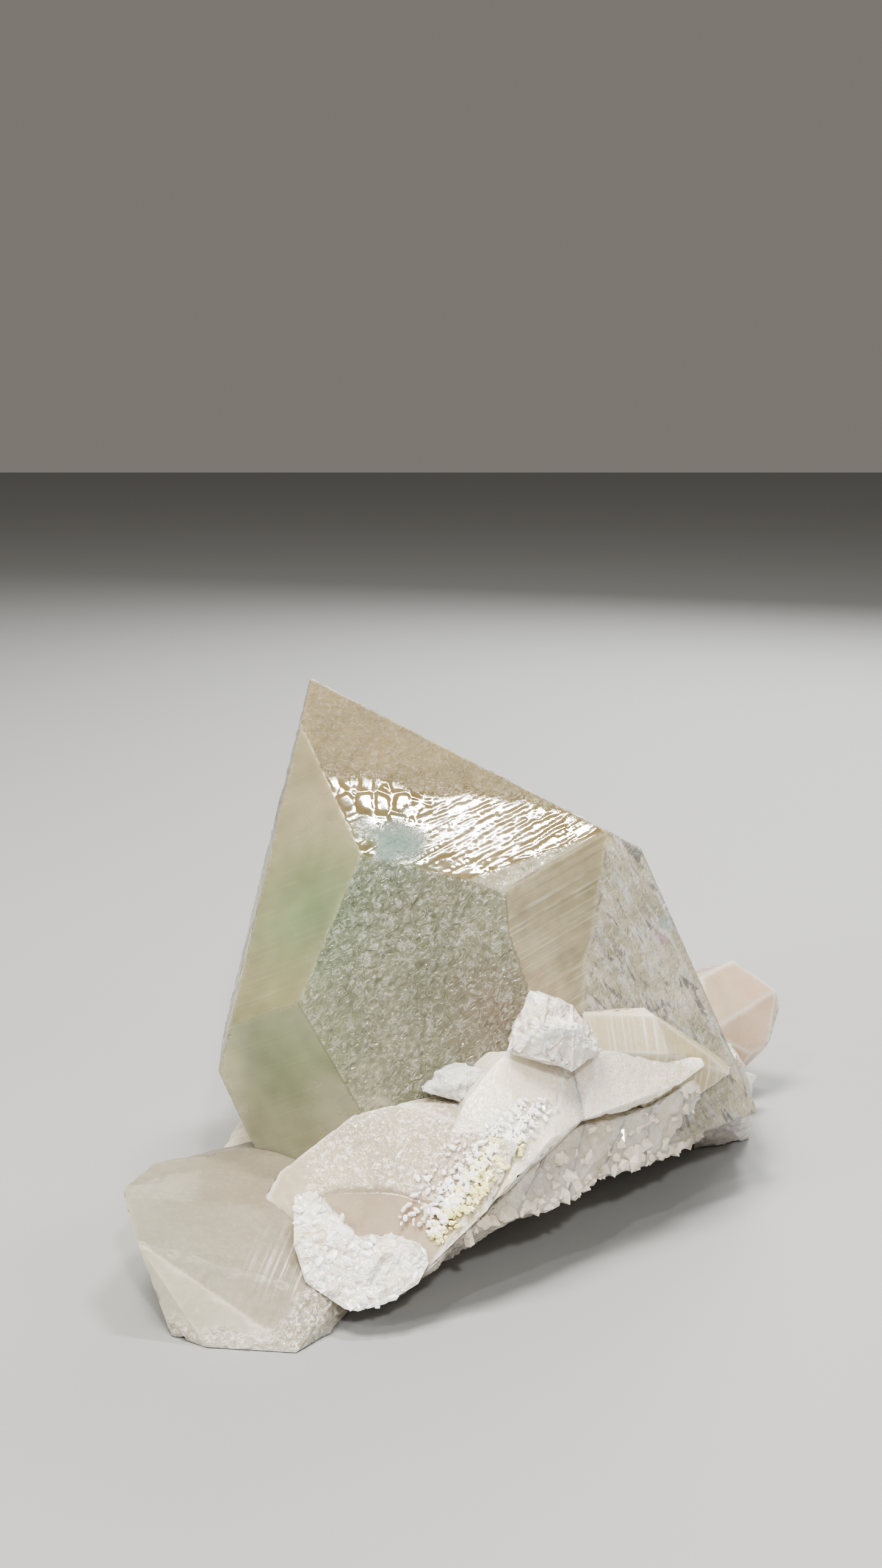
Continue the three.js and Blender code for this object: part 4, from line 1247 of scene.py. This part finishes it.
def ballPatch(at, radii):  # the upper half of an ellipsoid, as a loose sheet
    turns, rises, top = 16, 5, math.radians(80)
    points, faces = [], []
    for j in range(rises + 1):
        rise = top * j / rises
        for i in range(turns):
            turn = math.tau * i / turns
            out = np.array([math.cos(turn) * math.cos(rise), math.sin(turn) * math.cos(rise), math.sin(rise)])
            points.append(np.array(at) + out * np.array(radii))
    for j in range(rises):
        for i in range(turns):
            after = (i + 1) % turns
            faces.append((j * turns + i, j * turns + after, (j + 1) * turns + after, (j + 1) * turns + i))
    return points, faces


def hullPatch(values, lowest):  # the hull faces that look to the front and no further down, as a loose sheet
    points, faces = [], []
    for ring in hullFaces(values["corners"], values["flat"]):
        normal = faceBasis(ring)[0]
        if normal[1] < 0.1 and normal[2] > lowest:
            faces.append(tuple(range(len(points), len(points) + len(ring))))
            points += list(ring)
    return points, faces


def druseValues(density, spacing, smallest, largest, radius, lean, seed=0):
    return {"Density": float(density), "Spacing": spacing, "Smallest": smallest, "Largest": largest,
            "Point Radius": radius, "Lean": lean, "Seed": seed}


sugarLook = {
    **milkLook, "clear": (0.96, 0.96, 0.95), "milk": (1.0, 1.0, 1.0), "roughness": (0.12, 0.35),
    "transmission": 0.0, "subsurface": 0.0, "cloudScale": 200, "relief": 0.003, "painted": False,
}
greyLook = {
    **sugarLook, "clear": (0.76, 0.68, 0.56), "milk": (0.97, 0.92, 0.82), "cloudScale": 160,
    "roughness": (0.05, 0.25),
}
yellowLook = {**sugarLook, "clear": (0.84, 0.80, 0.36), "milk": (0.98, 0.95, 0.68), "cloudScale": 260}
sugarQuartz = quartzMaterial("sugarQuartz", sugarLook)
greySugar = quartzMaterial("greySugar", greyLook)
yellowSugar = quartzMaterial("yellowSugar", yellowLook)

bedLine = [[-5.5, -61.8, 13.6]] + raggedEdge[2:]
# a band of sugary points down the right side of the front crystal, white first and then stained yellow
whiteLine = [
    [-13.5, -62.6, 15.3], [-10, -57.6, 21.3], [-5.5, -54, 26.6], [-0.5, -51, 30.6], [6, -45.2, 34.8],
]
middleLine = [
    [-11, -64.6, 14.8], [-6.5, -61.3, 19.8], [-1.5, -56.6, 26.1], [4, -53.1, 29.6], [11, -43.6, 34.4],
]
yellowLine = [
    [-10.2, -65.2, 13.6], [-4.5, -63.1, 18.6], [1, -59.1, 24.2], [7, -52.6, 29.3], [13.5, -44.1, 33],
]
halfLine = [[(a + b) / 2 for a, b in zip(p, q)] for p, q in zip(whiteLine, middleLine)]
bandValues = druseValues(2500000, 0.0004, 0.4, 1.5, 0.00039, 1.4)
crustValues = druseValues(200000, 0.0010, 0.5, 1.4, 0.0006, 1.3)
rearDruseValues = druseValues(90000, 0.0024, 0.4, 1.7, 0.0012, 0.8)
upperCrust = hullPatch(snowValues["crustUpper"], -0.3)
lowerCrust = hullPatch(snowValues["crustLower"], -0.6)
druseBeds = {  # sheet, values and material
    "wallDruse": (strip(moved(wallLip, 0, 1, -1), moved(bedLine, 0, 0.6, 0), 30),
                  druseValues(160000, 0.0014, 0.6, 2.6, 0.0008, 0.7, 3), greySugar),
    "edgeDruse": (strip(moved(bedLine, 0, 0.2, 1.4), moved(bedLine, 0, 1.5, -0.6), 30),
                  druseValues(400000, 0.0011, 0.6, 1.7, 0.001, 0.8, 5), greySugar),
    "crustDruse": (upperCrust, {**crustValues, "Seed": 7}, sugarQuartz),
    "crustDruseLow": (lowerCrust, {**crustValues, "Seed": 8}, sugarQuartz),
    "bandEdge": (strip(moved(whiteLine, -5, 2.2, 0), whiteLine, 16),
                 {**bandValues, "Spacing": 0.0012, "Largest": 1.3, "Seed": 13}, sugarQuartz),
    "whiteBand": (strip(whiteLine, middleLine, 16), {**bandValues, "Seed": 11}, sugarQuartz),
    "yellowBand": (strip(halfLine[:4], yellowLine[:4], 14), {**bandValues, "Seed": 12}, yellowSugar),
    "bandTop": (strip(middleLine[3:], yellowLine[3:], 6), {**bandValues, "Spacing": 0.0009, "Seed": 14},
                sugarQuartz),
}
finishPiece(joinPieces("frontDruse", [growDruse(name, *bed) for name, bed in druseBeds.items()]))
rearDruse = [growDruse("rearDruse", ballPatch(at, radii), {**rearDruseValues, "Seed": seed}, greySugar)
             for at, radii, seed in rearLumps]
finishPiece(joinPieces("rearDruse", rearDruse))


# floor, light and camera

floorValues = {"size": 6.0, "drop": 0.0002, "colour": (0.38, 0.385, 0.39, 1), "roughness": 0.7}
worldValues = {"Color": (0.96, 0.91, 0.83, 1), "Strength": 0.15}
studioValues = {"exposure": 0.45, "bounces": 8, "throughBounces": 6}
cameraValues = {
    "at": [-9.775, -405.45, 174.25], "pitch": -12.0, "lens": 44.82, "sensor": 36.0, "nearest": 0.01,
}
# the band of glints on the wide tip face is a strip light, placed where that face mirrors the camera's view
glintValues = {"from": [-35, -3, 91], "to": [24, -6, 79], "away": 0.9, "breadth": 0.035, "power": 2.2}
lightValues = [  # name, place, height of the aim, size, power and colour
    ("key", (-0.25, -0.15, 1.0), 0.04, (0.35, 0.35), 6.0, (1.0, 0.95, 0.86)),
    ("left", (-0.75, -0.6, 0.5), 0.04, (0.2, 0.4), 2.2, (1.0, 0.96, 0.88)),
    ("front", (0.15, -0.9, 0.75), 0.04, (0.07, 0.07), 3.2, (1, 1, 1)),
    ("spark", (-0.45, -0.75, 0.9), 0.04, (0.05, 0.05), 1.3, (1, 1, 1)),
    ("fill", (0.9, -0.6, 0.5), 0.04, (0.5, 0.5), 1.3, (1.0, 0.97, 0.92)),
    ("rim", (0.3, 0.8, 0.5), 0.05, (0.7, 0.4), 4, (1, 1, 1)),
]


def softLight(name, at, aim, size, power, colour=(1, 1, 1)):
    data = bpy.data.lights.new(name, "AREA")
    data.shape = "RECTANGLE"
    data.size, data.size_y = size
    data.energy = power
    data.color = colour
    lamp = addObject(name, data)
    lamp.location = at
    lamp.rotation_euler = (Vector(aim) - Vector(at)).to_track_quat("-Z", "Y").to_euler()
    return lamp


bpy.ops.mesh.primitive_plane_add(size=floorValues["size"], location=(0, 0, -floorValues["drop"]))
floor = bpy.context.object
floor.name = "floor"
paper = bpy.data.materials.new("paleFloor")
paper.use_nodes = True
feed(paper.node_tree, paper.node_tree.nodes["Principled BSDF"],
     {"Base Color": floorValues["colour"], "Roughness": floorValues["roughness"]})
floor.data.materials.append(paper)

scene.world = bpy.data.worlds.new("studio")
scene.world.use_nodes = True
feed(scene.world.node_tree, scene.world.node_tree.nodes["Background"], worldValues)

viewFrom = placed(cameraValues["at"])
camera = addObject("camera", bpy.data.cameras.new("camera"))
camera.location = viewFrom.tolist()
camera.rotation_euler = (math.radians(90 + cameraValues["pitch"]), 0, 0)
camera.data.lens = cameraValues["lens"]
camera.data.sensor_width = cameraValues["sensor"]
camera.data.clip_start = cameraValues["nearest"]
scene.camera = camera

wideTip = mainDirections["wideTip"]
glintEnds = [placed(glintValues[key]) for key in ("from", "to")]
behindFace = viewFrom - 2 * ((viewFrom - glintEnds[0]) @ wideTip) * wideTip
lampEnds = [end + unit(end - behindFace) * glintValues["away"] for end in glintEnds]
lampMiddle, faceMiddle = (lampEnds[0] + lampEnds[1]) / 2, (glintEnds[0] + glintEnds[1]) / 2
lampSpan = lampEnds[1] - lampEnds[0]
glint = softLight("glint", lampMiddle.tolist(), faceMiddle.tolist(),
                  (float(np.linalg.norm(lampSpan)), glintValues["breadth"]), glintValues["power"])
lampBack = unit(lampMiddle - faceMiddle)
lampLong = unit(lampSpan - lampBack * (lampSpan @ lampBack))
lampTurn = np.stack([lampLong, np.cross(lampBack, lampLong), lampBack], 1)
glint.rotation_euler = Matrix(lampTurn.tolist()).to_euler()
for name, at, aimHeight, size, power, colour in lightValues:
    softLight(name, at, (0, 0, aimHeight), size, power, colour)
print("made the floor, the camera and the lights")

scene.view_settings.view_transform = "AgX"
scene.view_settings.look = "AgX - High Contrast"
scene.view_settings.exposure = studioValues["exposure"]
scene.cycles.use_denoising = True
scene.cycles.max_bounces = studioValues["bounces"]
scene.cycles.transmission_bounces = studioValues["throughBounces"]
scene.cycles.transparent_max_bounces = studioValues["bounces"]
